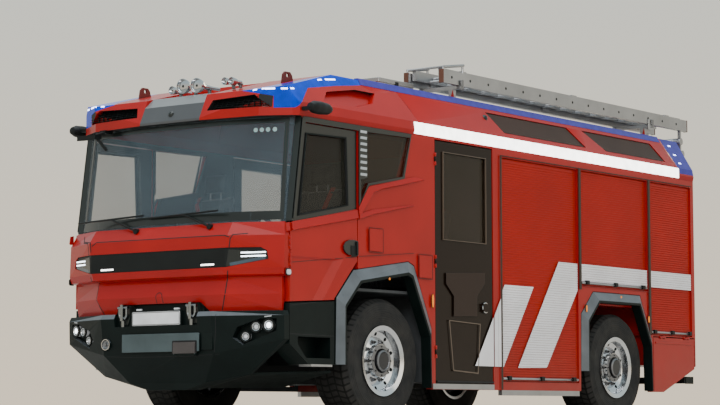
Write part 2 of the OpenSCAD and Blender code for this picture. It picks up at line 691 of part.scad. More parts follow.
// Blue strip on the roof's top edge: what the roofs leave for it, or with a gap the strip itself
module ridge_strip(y0, y1, gap) both() across([[ridge_half - 42 + gap, ridge_strip_z0 + gap],
    [slope_x(ridge_strip_z0) + (gap > 0 ? 3 : 40), ridge_strip_z0 + gap], [slope_x(ridge_strip_z1) + (gap > 0 ? 3 : 40), ridge_strip_z1 + (gap > 0 ? 0 : 60)],
    [ridge_half - 42 + gap, ridge_strip_z1 + (gap > 0 ? 0 : 60)]], y0 + gap, y1 - gap);

module light_strip_room() both() block([half_w - 12, strip_y0, eave_z + 10], [half_w + 40, strip_y1, fascia_z - 2]);

// Lifting eye on a roof pod
module lifting_eye() difference() {
    side([[-945, 2790], [-925, 2895], [-900, 2919], [-830, 2919], [-805, 2895], [-785, 2830]], 784, 800);
    translate([780, -865, 2888]) rotate([0, 90, 0]) cylinder(r = 17, h = 30, $fn = 24);
}

module cab_roof() color("firebrick") {
    both() lifting_eye();
    difference() {
        intersection() {
            roof_volume(-1500, 700);
            side(seam_side, -half_w - 60, half_w + 60);
        }
        // Hollow over the seats
        intersection() {
            across([[-inner_x, eave_z - 31], [inner_x, eave_z - 31], [inner_x, fascia_z - 20], [ridge_half - roof_t, ridge_z - roof_t],
                [-ridge_half + roof_t, ridge_z - roof_t], [-inner_x, fascia_z - 20]], -1300, 800);
            side([[-1180, eave_z - 31], [-1180, 2640], [-1100, 2650], [-560, 2790], [-400, ridge_z - roof_t], [800, ridge_z - roof_t],
                [800, eave_z - 31]], -half_w, half_w);
        }
        // Trough between the two pods
        side([[-1500, eave_z + 121], [-1420, eave_z + 121], [-1270, trough_z], [-560, trough_z + 60], [-420, 3100], [-1500, 3100]],
            -trough_half, trough_half);
        // Grille mouths in the pod faces
        both() difference() {
            across([[385, 2567], [416, 2655], [855, 2668], [half_w - 185, 2560]], -1500, -1200);
            roof_volume(-1500, 700, -45);
        }
        // Blue corner lamps
        intersection() {
            beacon_region();
            difference() {
                roof_volume(-1600, 700, 20);
                roof_volume(-1500, 700, -45);
            }
        }
        // Scoops in the roof sides
        both() difference() {
            side(scoop_line, 950, half_w + 60);
            roof_volume(-1500, 700, -40);
        }
        ridge_strip(ridge_strip_y0, 700, 0);
        light_strip_room();
    }
}

scoop_line = [[-828, 2650], [-727, 2740], [-280, 2811], [5, 2811], [-104, 2707], [-378, 2647], [-718, 2630]];

module corner_beacons() color([0.05, 0.25, 0.85]) intersection() {
    beacon_region();
    difference() {
        roof_volume(-1500, 700, -0.5);
        roof_volume(-1500, 700, -44.5);
    }
}

module dashboard() color([0.12, 0.12, 0.13]) difference() {
    side([[-1440, bumper_top + 10], [-1440, screen_z0 - 20], [-1180, screen_z0 - 40], [-1080, screen_z0 - 110],
        [-1130, 1330], [-1290, 1180], [-1290, floor_z + floor_t + fit_gap], [bumper_back + 2, floor_z + floor_t + fit_gap],
        [bumper_back + 2, bumper_top + 10]], -1010, 1010);
    level([[-1100, -1500], [-1100, -1270], [-640, -1440], [640, -1440], [1100, -1270], [1100, -1500]], 800, 1700);
    at_column() translate([0, 0, -400]) cylinder(r = 34 + fit_gap, h = 400);
}

// Steering wheel's own frame: axis up towards the driver
module at_column() translate([560, -960, 1580]) rotate([-48, 0, 0]) children();

module steering_wheel() color([0.08, 0.08, 0.08]) at_column() {
    rotate_extrude($fn = 48) translate([205, 0]) circle(r = 16, $fn = 16);
    cylinder(r = 62, h = 34, center = true);
    for (a = [90, 210, 330]) rotate([0, 0, a]) block([40, -16, -10], [200, 16, 10]);
    translate([0, 0, -240]) cylinder(r = 34, h = 240);
}

// Seat pad, back and headrest, facing -Y, with the cushion's top at z
module seat(w, z) {
    side([[-260, z - 110], [-285, z - 30], [-250, z + 5], [200, z - 25], [200, z - 110]], -w / 2, w / 2);
    side([[135, z - 30], [210, z - 30], [330, z + 600], [300, z + 640], [235, z + 625]], -w / 2 + 20, w / 2 - 20);
    side([[262, z + 650], [345, z + 650], [365, z + 830], [300, z + 840], [268, z + 800]], -w / 4, w / 4);
    for (dx = [-60, 60]) translate([dx, 300, z + 590]) cylinder(r = 9, h = 100, $fn = 16);
}

front_seat_z = 1380;
crew_seat_z = 1320;

module front_seats() color([0.14, 0.14, 0.15]) for (x = [-600, 600]) translate([x, -430, 0]) {
    block([-190, -170, wheel_box_z], [190, 190, front_seat_z - 109]);
    seat(500, front_seat_z);
}

module crew_seats() color([0.14, 0.14, 0.15]) {
    bench_y = 1390;
    bench_end = cabin_end - bulkhead_t - fit_gap;
    block([35 - inner_x, bench_y, floor_z + floor_t], [inner_x - 35, bench_end, crew_seat_z - 109]);
    both() block([wheel_box_x + fit_gap, bench_y, well_z], [inner_x - 35, bench_end, floor_z + floor_t + 1]);
    for (x = [-560, 0, 560]) translate([x, 1290, 0]) seat(480, crew_seat_z);
}

// Floors, wheel boxes and the rear wall of the cab
module cab_floor() color([0.3, 0.3, 0.32]) {
    x1 = inner_x - 5;
    // Front floor and the wall under the windscreen
    block([-x1, bumper_back + fit_gap, floor_z], [x1, -wheel_box_y, floor_z + floor_t]);
    // Tunnel over the frame
    block([-wheel_box_x, -wheel_box_y, floor_z], [wheel_box_x, cabin_end - bulkhead_t, floor_z + floor_t]);
    both() {
        // Wheel box: inner wall, top, front and rear walls
        block([wheel_box_x - box_t, -wheel_box_y - 20, 860], [wheel_box_x, wheel_box_y + 20, wheel_box_z]);
        block([wheel_box_x - box_t, -wheel_box_y - 20, wheel_box_z - 25], [x1, wheel_box_y + 20, wheel_box_z]);
        block([wheel_box_x - box_t, -wheel_box_y - 20, 480], [x1, -wheel_box_y, wheel_box_z]);
        block([wheel_box_x - box_t, wheel_box_y, well_z], [x1, wheel_box_y + 20, wheel_box_z]);
        // Foot well beside the tunnel
        block([wheel_box_x - box_t, wheel_box_y, well_z - floor_t], [x1, cabin_end - bulkhead_t, well_z]);
        block([wheel_box_x - box_t, wheel_box_y, well_z - floor_t], [wheel_box_x, cabin_end - bulkhead_t, floor_z + floor_t]);
    }
    // Rear wall
    difference() {
        block([-x1, cabin_end - bulkhead_t, well_z - floor_t], [x1, cabin_end, eave_z - 10]);
        block([-rail_x - 10, cabin_end - bulkhead_t - 1, 300], [rail_x + 10, cabin_end + 1, floor_z - 5]);
    }
}

// Black step panels below the front doors: height of the lower edge, and of its front end behind the bumper
step_z = 480;
step_toe_z = 640;
module entry_steps() color([0.1, 0.11, 0.12]) both() difference() {
    union() {
        side([[door_y0, step_toe_z], [door_y0, 966], [-712, 1000], [-712, step_z], [-1062, step_z]], inner_x - 3, half_w - 6);
        side([[door_y0 + 10, step_toe_z - 6.5], [door_y0 + 10, floor_z - 5], [-712, floor_z - 5], [-712, step_z], [-1062, step_z]],
            inner_x - 150, inner_x - 2);
    }
    // Step hollow, open to the outside
    side([[-1090, step_z + 50], [-1200, step_z + 160], [-1200, 700], [-770, 700], [-770, step_z + 50]], inner_x - 100, half_w);
}

// One flare: bevelled outer face, then the return into the arch
module flare(outer, arch, y0) loft([for (i = [0 : len(outer) - 1]) let (o = outer[i], q = arch[i], lip = q + (o - q) * 0.22) [
    [half_w - flare_depth, y0 + o[0], o[1]], [half_w, y0 + o[0], o[1]], [half_w + flare_out, y0 + lip[0], lip[1]],
    [half_w + flare_out, y0 + q[0], q[1]], [half_w - flare_depth, y0 + q[0], q[1]]]]);

module wheel_flares() color([0.15, 0.16, 0.17]) both() {
    flare(front_flare, front_arch, 0);
    flare(rear_flare, rear_arch, wheelbase);
}

// Body behind the cab

shutter_table = [[shutter_y, shutter_a_w, shutter_a_z], [shutter_b_y, shutter_b_w, shutter_b_z], [shutter_c_y, shutter_c_w, shutter_c_z]];

module body_shell() color("firebrick") {
    y0 = cabin_end + fit_gap;
    difference() {
        union() {
            both() side([[y0, sill_z], [y0, eave_z - 1], [rear_y, eave_z - 1], [rear_y, departure_z], [departure_y, sill_z],
                [wheelbase + 677 + arch_gap, sill_z], [wheelbase + 677 + arch_gap, 824], [wheelbase + 448, 1250 + arch_gap],
                [wheelbase - 473, 1250 + arch_gap], [wheelbase - 700, 1034], [wheelbase - 707 - arch_gap, sill_z]],
                inner_x, half_w);
            // Rear wall
            across([[-inner_x, departure_z], [inner_x, departure_z], [inner_x, eave_z - 1], [-inner_x, eave_z - 1]],
                rear_y - wall_t, rear_y);
            // Locker floor over the frame and the wall ahead of the pump bay
            block([-inner_x, y0, floor_z], [inner_x, rear_y - wall_t, floor_z + 20]);
            block([-inner_x, shutter_c_y - guide_w, floor_z + 20], [inner_x, shutter_c_y - guide_w + 30, eave_z - 10]);
        }
        // Shutter openings
        both() for (s = shutter_table)
            block([inner_x - 1, s[0] + 20, s[2] + 20], [half_w + 1, s[0] + s[1] - 20, shutter_top - 20]);
        both() for (s = shutter_table)
            block([half_w - shutter_depth - shutter_seat, s[0], s[2]], [half_w + 1, s[0] + s[1], shutter_top]);
        // Rear hatch opening
        block([-hatch_w / 2 - door_gap, rear_y - wall_t - 1, hatch_z0 - door_gap],
            [hatch_w / 2 + door_gap, rear_y + 1, hatch_z1 + door_gap]);
        // Locker flap openings
        both() side([[flap_y0 - door_gap, sill_z - 1], [flap_y0 - door_gap, flap_top + door_gap],
            [flap_y1 + door_gap, flap_top + door_gap], [flap_y1 + door_gap, sill_z - 1]], inner_x - 1, half_w + 1);
        // Wheel room in the locker floor
        both() block([rail_x + 20, wheelbase - 620, floor_z - 1], [inner_x + 1, wheelbase + 620, floor_z + 21]);
        both() at_flap_hinges() hinge_fixed_room();
        at_hatch_hinges() hinge_fixed_room();
    }
    both() at_flap_hinges() hinge_fixed();
    at_hatch_hinges() hinge_fixed();
    // Boxes over the rear wheels
    both() difference() {
        block([rail_x + 5, wheelbase - 640, floor_z], [inner_x - 1, wheelbase + 640, 1150]);
        block([rail_x + 25, wheelbase - 620, floor_z - 1], [inner_x, wheelbase + 620, 1130]);
    }
    // Skirt floor of the side lockers
    both() block([rail_x + 90, flap_y0 - 30, 560], [inner_x, rear_y - wall_t, 580]);
    both() block([rail_x + 90, flap_y0 - 30, 580], [inner_x - 1, flap_y0 - 12, floor_z]);
}

slat_h = 22.5;
slat_groove = 4;
module roller_shutters() color([0.78, 0.16, 0.1]) both() for (s = shutter_table) {
    y0 = s[0] + 4;
    y1 = s[0] + s[1] - 4;
    n = floor((shutter_top - s[2] - 8) / slat_h);
    x0 = half_w - shutter_depth - shutter_seat + fit_gap;
    // Curtain with one rounded slat after another, as a single outline
    across(concat([[x0, s[2] + 4]],
        [for (i = [0 : n - 1]) each [[half_w - shutter_seat - slat_groove, s[2] + 4 + i * slat_h],
            [half_w - shutter_seat, s[2] + 4 + i * slat_h + 3], [half_w - shutter_seat, s[2] + 4 + (i + 1) * slat_h - 4]]],
        [[half_w - shutter_seat - slat_groove, shutter_top - 4], [x0, shutter_top - 4]]), y0, y1);
}

module sill_rails() color("silver") both() {
    // Step plate under the front door
    block([half_w - 120, -1040, step_z - 18], [half_w + 8, -760, step_z - fit_gap]);
    // Sills below the crew door and the first shutter
    block([half_w + fit_gap, crew_y0 - 60, sill_z + 2], [half_w + 8, cabin_end - 65, crew_z0 - 7]);
    block([half_w - 40, shutter_y, sill_z - 48], [half_w + 2, shutter_y + shutter_a_w, sill_z - fit_gap]);
    // Lift bars at the foot of the shutters
    for (s = shutter_table) {
        bar([half_w - 2, s[0] + 20, s[2] + 30], [half_w - 2, s[0] + s[1] - 20, s[2] + 30], 11);
        for (t = [0.08, 0.5, 0.92])
            block([half_w - shutter_seat + fit_gap, s[0] + s[1] * t - 22, s[2] + 14], [half_w + 4, s[0] + s[1] * t + 22, s[2] + 46]);
    }
}

module rear_light_region() both() intersection() {
    side([[rear_y - 423, ridge_z + 60], [rear_y + 60, ridge_z + 60], [rear_y + 60, eave_z + 60], [rear_y - 300, eave_z + 60]],
        850, half_w + 60);
    block([850, rear_y - 500, 2400], [half_w + 60, rear_y + 100, 3100]);
}

roof_glass_table = [[1746, 1912, wheelbase - 523, wheelbase - 725], [wheelbase - 443, wheelbase - 140, wheelbase + 1060, wheelbase + 920]];
function slope_x(z) = half_w + (ridge_half - half_w) * (z - fascia_z) / (ridge_z - fascia_z);

module roof_pane(s, inset, x0, x1) intersection() {
    roof_volume(0, 6000, x1);
    side([[s[0] + 2.2 * inset, 2835 - inset], [s[1] + 2.2 * inset, 2650 + inset], [s[2] - 2.2 * inset, 2650 + inset],
        [s[3] - 2.2 * inset, 2835 - inset]], 900, half_w + 50);
}

module roof_glass() for (s = roof_glass_table) difference() {
    roof_pane(s, 6, 0, -6);
    roof_pane(s, -20, 0, -18);
}

module body_roof() color("firebrick") {
    difference() {
        intersection() {
            roof_volume(0, 6000);
            difference() {
                block([-half_w - 60, 200, eave_z], [half_w + 60, rear_y + 10, 3100]);
                side(moved(seam_side, fit_gap, 0), -half_w - 61, half_w + 61);
            }
        }
        // Hollow, and the deck set down between the ridges
        intersection() {
            across([[-inner_x, eave_z - 1], [inner_x, eave_z - 1], [inner_x, fascia_z - 20], [ridge_half - 80, deck_z - 30],
                [-ridge_half + 80, deck_z - 30], [-inner_x, fascia_z - 20]], 0, rear_y);
            side([[0, eave_z - 2], [0, 3000], [slope_y - 60, 3000], [slope_y - 60, deck_z - 30], [rear_y - wall_t - 30, eave_z + 50],
                [rear_y - wall_t - 30, eave_z - 2]], -half_w, half_w);
        }
        block([-ridge_half + 60, 620, deck_z], [ridge_half - 60, slope_y - 60, 3200]);
        // Windows, light strips and rear lamps
        both() for (s = roof_glass_table) intersection() {
            roof_pane(s, 0, 0, 20);
            difference() {
                roof_volume(0, 6000, 20);
                roof_volume(0, 6000, -18.3);
            }
        }
        light_strip_room();
        ridge_strip(0, rear_y - 432, 0);
        intersection() {
            rear_light_region();
            difference() {
                roof_volume(0, 6000, 30);
                roof_volume(0, 6000, -30);
            }
        }
    }
    // Ladder trestles and the low locker ahead of the ladder
    for (y = [ladder_y0 + 260, ladder_y1 - 800]) {
        block([ladder_x0 - 20, y, deck_z - 5], [ladder_x0 + 30, y + 50, ladder_z - 30]);
        block([ridge_half - 110, y, deck_z - 5], [ridge_half - 62, y + 50, ladder_z - 30]);
        block([ladder_x0 - 20, y, ladder_z - 30 - 1], [ladder_x1, y + 50, ladder_z - fit_gap]);
    }
    block([300, 480, deck_z - 5], [760, 1010, 3030]);
    block([-860, 900, deck_z - 5], [-300, 2500, 3040]);
}

module scene_light_strips() color("white") both()
    block([half_w - 12 + fit_gap, strip_y0 + 1, eave_z + 11], [half_w + 9, strip_y1 - 1, fascia_z - 3]);

module ridge_light_strips() color([0.2, 0.2, 0.75]) {
    ridge_strip(ridge_strip_y0, rear_y - 432, fit_gap);
    intersection() {
        rear_light_region();
        difference() {
            roof_volume(0, 6000, 0);
            roof_volume(0, 6000, -29.5);
        }
    }
}

// Roof equipment

rail_w = 42;
module ladder_section(x0, x1, y0, y1, z0, h, r) {
    for (x = [x0, x1 - rail_w]) block([x, y0, z0], [x + rail_w, y1, z0 + h]);
    pitch = (y1 - y0) / (rungs + 1);
    for (i = [1 : rungs]) translate([x0 + 10, y0 + i * pitch, z0 + h / 2]) rotate([0, 90, 0])
        cylinder(r = r, h = x1 - x0 - 20, $fn = 24);
}

module roof_ladder() color("silver") {
    ladder_section(ladder_x0, ladder_x1, ladder_y0, ladder_y1, ladder_z, ladder_rail_h, 16);
    ladder_section(ladder_x0 + 52, ladder_x1 - 52, ladder_y0 + 60, ladder_y1 - 60, ladder_z + 50, 90, 14);
    // Guide cleats that hold the inner section in the outer one
    for (y = [ladder_y0 + 340, (ladder_y0 + ladder_y1) / 2, ladder_y1 - 420]) {
        block([ladder_x0 + 36, y, ladder_z + 20], [ladder_x0 + 60, y + 90, ladder_z + ladder_rail_h + 24]);
        block([ladder_x1 - 60, y, ladder_z + 20], [ladder_x1 - 36, y + 90, ladder_z + ladder_rail_h + 24]);
    }
    // Hoop over the head, from rail to rail
    for (x = [ladder_x0 + 21, ladder_x1 - 21]) {
        translate([x, ladder_y0 + 30, ladder_z + 60]) cylinder(r = 12, h = 96, $fn = 24);
        bar([x, ladder_y0 + 26, ladder_z + 144], [x, ladder_y0 + 358, ladder_z + 195], 14);
        translate([x, ladder_y0 + 345, ladder_z + 60]) cylinder(r = 12, h = 140, $fn = 24);
    }
    bar([ladder_x0 + 9, ladder_y0 + 32, ladder_z + 146], [ladder_x1 - 9, ladder_y0 + 32, ladder_z + 146], 11);
    // Pull-down arms at the foot, with the two rollers that ride down the rear wall
    for (x = [ladder_x0 + 21, ladder_x1 - 21]) block([x - 14, ladder_y1 - 150, 2760], [x + 14, ladder_y1 - 122, ladder_z + 20]);
    for (z = [2800, 2930]) translate([ladder_x0, ladder_y1 - 136 + (2930 - z) * 0.25, z]) rotate([0, 90, 0])
        cylinder(r = 38, h = ladder_w, $fn = 32);
}

// One trumpet horn, mouth at the front
module horn(x, y, z, bell, length) translate([x, y, z]) rotate([90, 0, 0]) rotate_extrude($fn = 40)
    polygon([[0, 0], [bell, 0], [bell, -8], [bell * 0.72, -30], [bell * 0.4, -80], [16, -length], [0, -length]]);

// columns: x, height, radius of the mouth, length
horn_table = [[-40, 2829, 64, 330], [112, 2822, 64, 300], [-205, 2814, 36, 250], [375, 2842, 32, 140], [449, 2838, 32, 130]];
horn_y = -1235;
module roof_horns() color("silver") {
    base_z = trough_z + 19.8;
    pod_z = 2790.5;
    for (h = horn_table) {
        y = h[2] > 50 ? horn_y : horn_y + 55;
        horn(h[0], y, h[1], h[2], h[3]);
        block([h[0] - 12, -1070, abs(h[0]) < trough_half ? base_z : pod_z], [h[0] + 12, -1045, h[1]]);
    }
    // Base plate in the trough
    block([-245, -1080, base_z], [152, -1040, base_z + 18]);
}

module mirror_cameras() color([0.08, 0.08, 0.09]) {
    both() {
        // Arm on the fascia and the camera pod, swept back
        block([half_w + 10.3, -1172, eave_z + 44], [half_w + 120, -1118, eave_z + 72]);
        translate([half_w + 140, -1150, eave_z + 58]) rotate([-90, 0, 0])
            rotate_extrude($fn = 32) polygon([[0, -86], [32, -76], [50, -30], [54, 50], [46, 150], [30, 188], [0, 194]]);
    }
    // Kerb view mirror at the right-hand windscreen corner
    block([-800, -1425, eave_z - 30], [-740, -1330, eave_z - fit_gap]);
    bar([-770, -1405, eave_z - 18], [-730, -1560, eave_z - 60], 12);
    bar([-730, -1560, eave_z - 60], [-650, -1500, eave_z - 190], 14);
    side([[-1600, eave_z - 100], [-1600, eave_z - 60], [-1520, eave_z - 48], [-1520, eave_z - 90]], -900, -690);
}

module wipers() color([0.05, 0.05, 0.05]) for (x = wiper_x) {
    translate([x, -1490 - fit_gap, wiper_z]) rotate([90, 0, 0]) cylinder(r = 22, h = 66, $fn = 24);
    bar([x, -1548, wiper_z], [x - 300, -1524, wiper_z + 116], 8);
    bar([x - 690, -1506, wiper_z + 104], [x + 80, -1540, wiper_z + 128], 8);
}

module rear_step() color([0.15, 0.15, 0.16]) {
    block([-1060, rear_y - 40, 385], [1060, rear_y + 150, 445]);
    both() block([rail_x - 65, rear_y - 190, 385], [rail_x, rear_y - 39, 445]);
    both() block([rail_x - 65, rear_y - 190, 385], [rail_x, rear_y - 110, rail_z - fit_gap]);
    block([-1060, rear_y + 20, 445], [1060, rear_y + 140, 452]);
}

module rear_lamps() color([0.7, 0.05, 0.05]) both() {
    block([780, rear_y + fit_gap, 980], [900, rear_y + 26, 1480]);
    block([940, rear_y + fit_gap, 980], [1090, rear_y + 20, 1180]);
}

module rear_hatch() color("firebrick") difference() {
    union() {
        across([[-hatch_w / 2, hatch_z0], [hatch_w / 2, hatch_z0], [hatch_w / 2, hatch_z1], [-hatch_w / 2, hatch_z1]],
            rear_y - hatch_t, rear_y);
        block([-220, rear_y - 1, hatch_z0 + 60], [220, rear_y + 34, hatch_z0 + 84]);
        at_hatch_hinges() hinge_knuckle();
    }
    at_hatch_hinges() hinge_knuckle_room();
}

module locker_flap(side) color("firebrick") on_side(side) difference() {
    union() {
        side([[flap_y0, sill_z], [flap_y0, flap_top], [flap_y1, flap_top],
            [flap_y1, departure_z - 30], [departure_y + 10, sill_z]], half_w - 45, half_w);
        block([half_w - 1, flap_y0 + 40, flap_top - 62], [half_w + 8, flap_y1 - 60, flap_top - 42]);
        at_flap_hinges() hinge_knuckle();
    }
    at_flap_hinges() hinge_knuckle_room();
}

placed() chassis_frame();
placed() front_axle();
placed() rear_axle();
placed() traction_battery();
placed() front_bumper();
placed() bumper_lamps();
placed() tow_shackles();
placed() cab_floor();
placed() cab_front_panel();
placed() headlamp_band();
placed() headlamps();
placed() windscreen();
placed() cab_side(1);  // cab_side_left
placed() cab_side(-1);  // cab_side_right
placed() cab_roof();
placed() corner_beacons();
placed() fixed_glass();
placed() dashboard();
placed() steering_wheel();
placed() front_seats();
placed() crew_seats();
placed() entry_steps();
placed() wheel_flares();
placed() body_shell();
placed() body_roof();
placed() roller_shutters();
placed() sill_rails();
placed() scene_light_strips();
placed() ridge_light_strips();
placed() roof_ladder();
placed() roof_horns();
placed() mirror_cameras();
placed() wipers();
placed() rear_step();
placed() rear_lamps();
placed() knuckle(1);  // knuckle_left
placed() knuckle(-1);  // knuckle_right
placed() tie_rod();
placed() wheel_rim(1, 0);  // rim_front_left
placed() wheel_rim(-1, 0);  // rim_front_right
placed() wheel_rim(1, wheelbase);  // rim_rear_left
placed() wheel_rim(-1, wheelbase);  // rim_rear_right
placed() wheel_tyre(1, 0);  // tyre_front_left
placed() wheel_tyre(-1, 0);  // tyre_front_right
placed() wheel_tyre(1, wheelbase);  // tyre_rear_left
placed() wheel_tyre(-1, wheelbase);  // tyre_rear_right
placed() front_door(1);  // front_door_left
placed() front_door(-1);  // front_door_right
placed() front_door_glass(1);  // front_door_glass_left
placed() front_door_glass(-1);  // front_door_glass_right
placed() crew_door(1);  // crew_door_left
placed() crew_door(-1);  // crew_door_right
placed() crew_door_glass(1);  // crew_door_glass_left
placed() crew_door_glass(-1);  // crew_door_glass_right
placed() rear_hatch();
placed() locker_flap(1);  // locker_flap_left
placed() locker_flap(-1);  // locker_flap_right
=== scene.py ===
"""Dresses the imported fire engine: paint, glass, lamps, livery, wheels, cab fittings and a plain studio."""

import logging
import math
from collections.abc import Callable, Iterable, Sequence
from dataclasses import dataclass, field
from enum import Enum

import bmesh
import bpy
from mathutils import Matrix, Vector
from mathutils.bvhtree import BVHTree


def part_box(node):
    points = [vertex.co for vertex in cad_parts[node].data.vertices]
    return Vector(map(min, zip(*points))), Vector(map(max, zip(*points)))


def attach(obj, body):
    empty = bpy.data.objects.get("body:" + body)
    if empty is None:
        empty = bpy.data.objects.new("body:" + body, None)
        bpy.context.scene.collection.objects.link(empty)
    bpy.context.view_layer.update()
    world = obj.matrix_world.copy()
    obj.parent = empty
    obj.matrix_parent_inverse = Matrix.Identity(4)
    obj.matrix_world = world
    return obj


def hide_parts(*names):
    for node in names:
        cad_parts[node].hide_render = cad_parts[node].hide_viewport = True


log = logging.getLogger("fire_engine")

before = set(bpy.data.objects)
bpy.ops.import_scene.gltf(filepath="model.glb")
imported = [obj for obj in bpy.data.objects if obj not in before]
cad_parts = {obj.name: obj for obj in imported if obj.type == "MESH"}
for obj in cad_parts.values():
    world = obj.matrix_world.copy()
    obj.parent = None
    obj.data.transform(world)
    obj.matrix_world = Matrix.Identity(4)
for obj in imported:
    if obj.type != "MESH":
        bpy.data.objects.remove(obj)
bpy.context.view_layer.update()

Point = tuple[float, float, float]
Pair = tuple[float, float]
Colour = tuple[float, float, float]
Line = tuple[Pair, ...]
Spot = tuple[Vector, Vector]
Socket = bpy.types.NodeSocket
Value = Socket | float | Sequence[float]


def middle_of(node: str) -> Vector:
    """Centre of a CAD node's box at rest."""
    low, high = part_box(node)
    return (Vector(low) + Vector(high)) / 2


# The front axle is the zero of every y below, as in the part's own source.
AXLE_Y: float = middle_of("tyre_front_left").y
AXLE_Z: float = middle_of("tyre_front_left").z
WHEELBASE: float = round((middle_of("tyre_rear_left").y - AXLE_Y) * 1000)
HALF_W: float = round(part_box("body_shell")[1][0] * 1000)
REAR: float = round((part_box("rear_hatch")[1][1] - AXLE_Y) * 1000) - 34
# Faces deeper than this under a side's face belong to its lining.
SHEET: float = 58.0


def at(x: float, y: float, z: float) -> Vector:
    """A point in the row frame, given in millimetres across, back from the front axle, and up."""
    return Vector((x / 1000, y / 1000 + AXLE_Y, z / 1000))


# Node graph helpers


class Graph:
    """A material's node graph, built with short calls."""

    def __init__(self, name: str) -> None:
        """Makes the material with one Principled shader."""
        self.material = bpy.data.materials.new(name)
        self.material.use_nodes = True
        self.tree = self.material.node_tree
        self.tree.nodes.clear()
        self.shader = self.tree.nodes.new("ShaderNodeBsdfPrincipled")
        output = self.tree.nodes.new("ShaderNodeOutputMaterial")
        self.tree.links.new(self.shader.outputs["BSDF"], output.inputs["Surface"])

    def feed(self, socket: Socket, value: Value) -> None:
        """Sets a socket, or links it to another one."""
        if isinstance(value, Socket):
            self.tree.links.new(value, socket)
        else:
            socket.default_value = value

    def set(self, **values: Value) -> None:
        """Sets or links sockets of the shader; underscores in a name stand for spaces."""
        for name, value in values.items():
            self.feed(self.shader.inputs[name.replace("_", " ")], value)

    def node(self, kind: str, inputs: dict[str | int, Value], **properties: object) -> bpy.types.Node:
        """A new node.

        Args:
            kind: the kind's name after ShaderNode.
            inputs: value or source of its inputs, by name or number.
            properties: its settings, made before the inputs.

        Returns:
            The node.
        """
        made = self.tree.nodes.new(f"ShaderNode{kind}")
        for name, value in properties.items():
            setattr(made, name, value)
        for key, value in inputs.items():
            self.feed(made.inputs[key], value)
        return made

    def place(self) -> Socket:
        """Coordinates fixed to the piece, in metres."""
        return self.node("TexCoord", {}).outputs["Object"]

    def noise(self, scale: float, detail: float = 3.0, stretch: Point = (1.0, 1.0, 1.0)) -> Socket:
        """Noise over the piece.

        Args:
            scale: features per metre.
            detail: octaves.
            stretch: factor on each axis before the noise.

        Returns:
            The noise's value socket.
        """
        mapping = self.node("Mapping", {"Scale": stretch, "Vector": self.place()})
        inputs = {"Scale": scale, "Detail": detail, "Vector": mapping.outputs["Vector"]}
        return self.node("TexNoise", inputs).outputs["Fac"]

    def ramp(self, source: Socket, *stops: tuple[float, Colour]) -> Socket:
        """Ramp of two colours fed by a value."""
        ramp = self.node("ValToRGB", {"Fac": source})
        for element, (place, colour) in zip(ramp.color_ramp.elements, stops):
            element.position, element.color = place, (*colour, 1)
        return ramp.outputs["Color"]

    def span(self, source: Socket, low: float, high: float) -> Socket:
        """Maps a 0 to 1 value to low to high."""
        return self.node("MapRange", {"To Min": low, "To Max": high, "Value": source}).outputs["Result"]

    def math(self, operation: str, first: Value, second: Value = 0.0) -> Socket:
        """A sum, product or other function of one or two values."""
        return self.node("Math", {0: first, 1: second}, operation=operation).outputs["Value"]

    def mix(self, factor: Value, first: Value, second: Value, **properties: object) -> Socket:
        """Blends two colours, each a socket or four numbers."""
        inputs = {"Factor": factor, "A": first, "B": second}
        return self.node("Mix", inputs, data_type="RGBA", **properties).outputs["Result"]

    def bump(self, height: Socket, strength: float, distance: float) -> None:
        """Joins a height to the shader's normal."""
        bump = self.node("Bump", {"Strength": strength, "Distance": distance, "Height": height})
        self.set(Normal=bump.outputs["Normal"])


def shade(colour: Colour, factor: float) -> Colour:
    """A colour made lighter or darker."""
    return tuple(min(1, channel * factor) for channel in colour)


# Finishes


@dataclass(frozen=True)
class Paint:
    """Sprayed enamel under clear coat, with a faint ripple and road film low down."""

    name: str
    colour: Colour
    roughness: float = 0.32
    coat: float = 0.9
    film: float = 0.25
    specular: float = 0.3
    film_heights: Pair = (1.1, 0.2)
    film_colour: Colour = (0.16, 0.13, 0.10)

    def material(self) -> bpy.types.Material:
        """Builds the paint's material."""
        graph = Graph(self.name)
        base = graph.ramp(graph.noise(2.2, 4), (0.3, shade(self.colour, 0.9)), (0.7, shade(self.colour, 1.08)))
        height = graph.node("SeparateXYZ", {"Vector": graph.place()}).outputs["Z"]
        top, bottom = self.film_heights
        low = graph.node("MapRange", {"Value": height, "From Min": top, "From Max": bottom, "To Max": self.film})
        patch = graph.math("MULTIPLY", low.outputs["Result"], graph.noise(9, 6))
        graph.set(Base_Color=graph.mix(patch, base, (*self.film_colour, 1)), Roughness=self.roughness)
        graph.set(Coat_Weight=self.coat, Coat_Roughness=0.06, Specular_IOR_Level=self.specular)
        graph.bump(graph.noise(260, 1), 0.05, 0.0004)
        return graph.material


@dataclass(frozen=True)
class Plastic:
    """Moulded plastic with a fine grain."""

    name: str
    colour: Colour
    roughness: float = 0.5
    grain: float = 0.25
    specular: float = 0.35

    def material(self) -> bpy.types.Material:
        """Builds the plastic's material."""
        graph = Graph(self.name)
        base = graph.ramp(graph.noise(5, 5), (0.3, shade(self.colour, 0.82)), (0.75, shade(self.colour, 1.2)))
        rough = graph.span(graph.noise(14, 4), self.roughness - 0.08, self.roughness + 0.1)
        graph.set(Base_Color=base, Roughness=rough, Specular_IOR_Level=self.specular)
        graph.bump(graph.noise(700, 2), self.grain, 0.0004)
        return graph.material


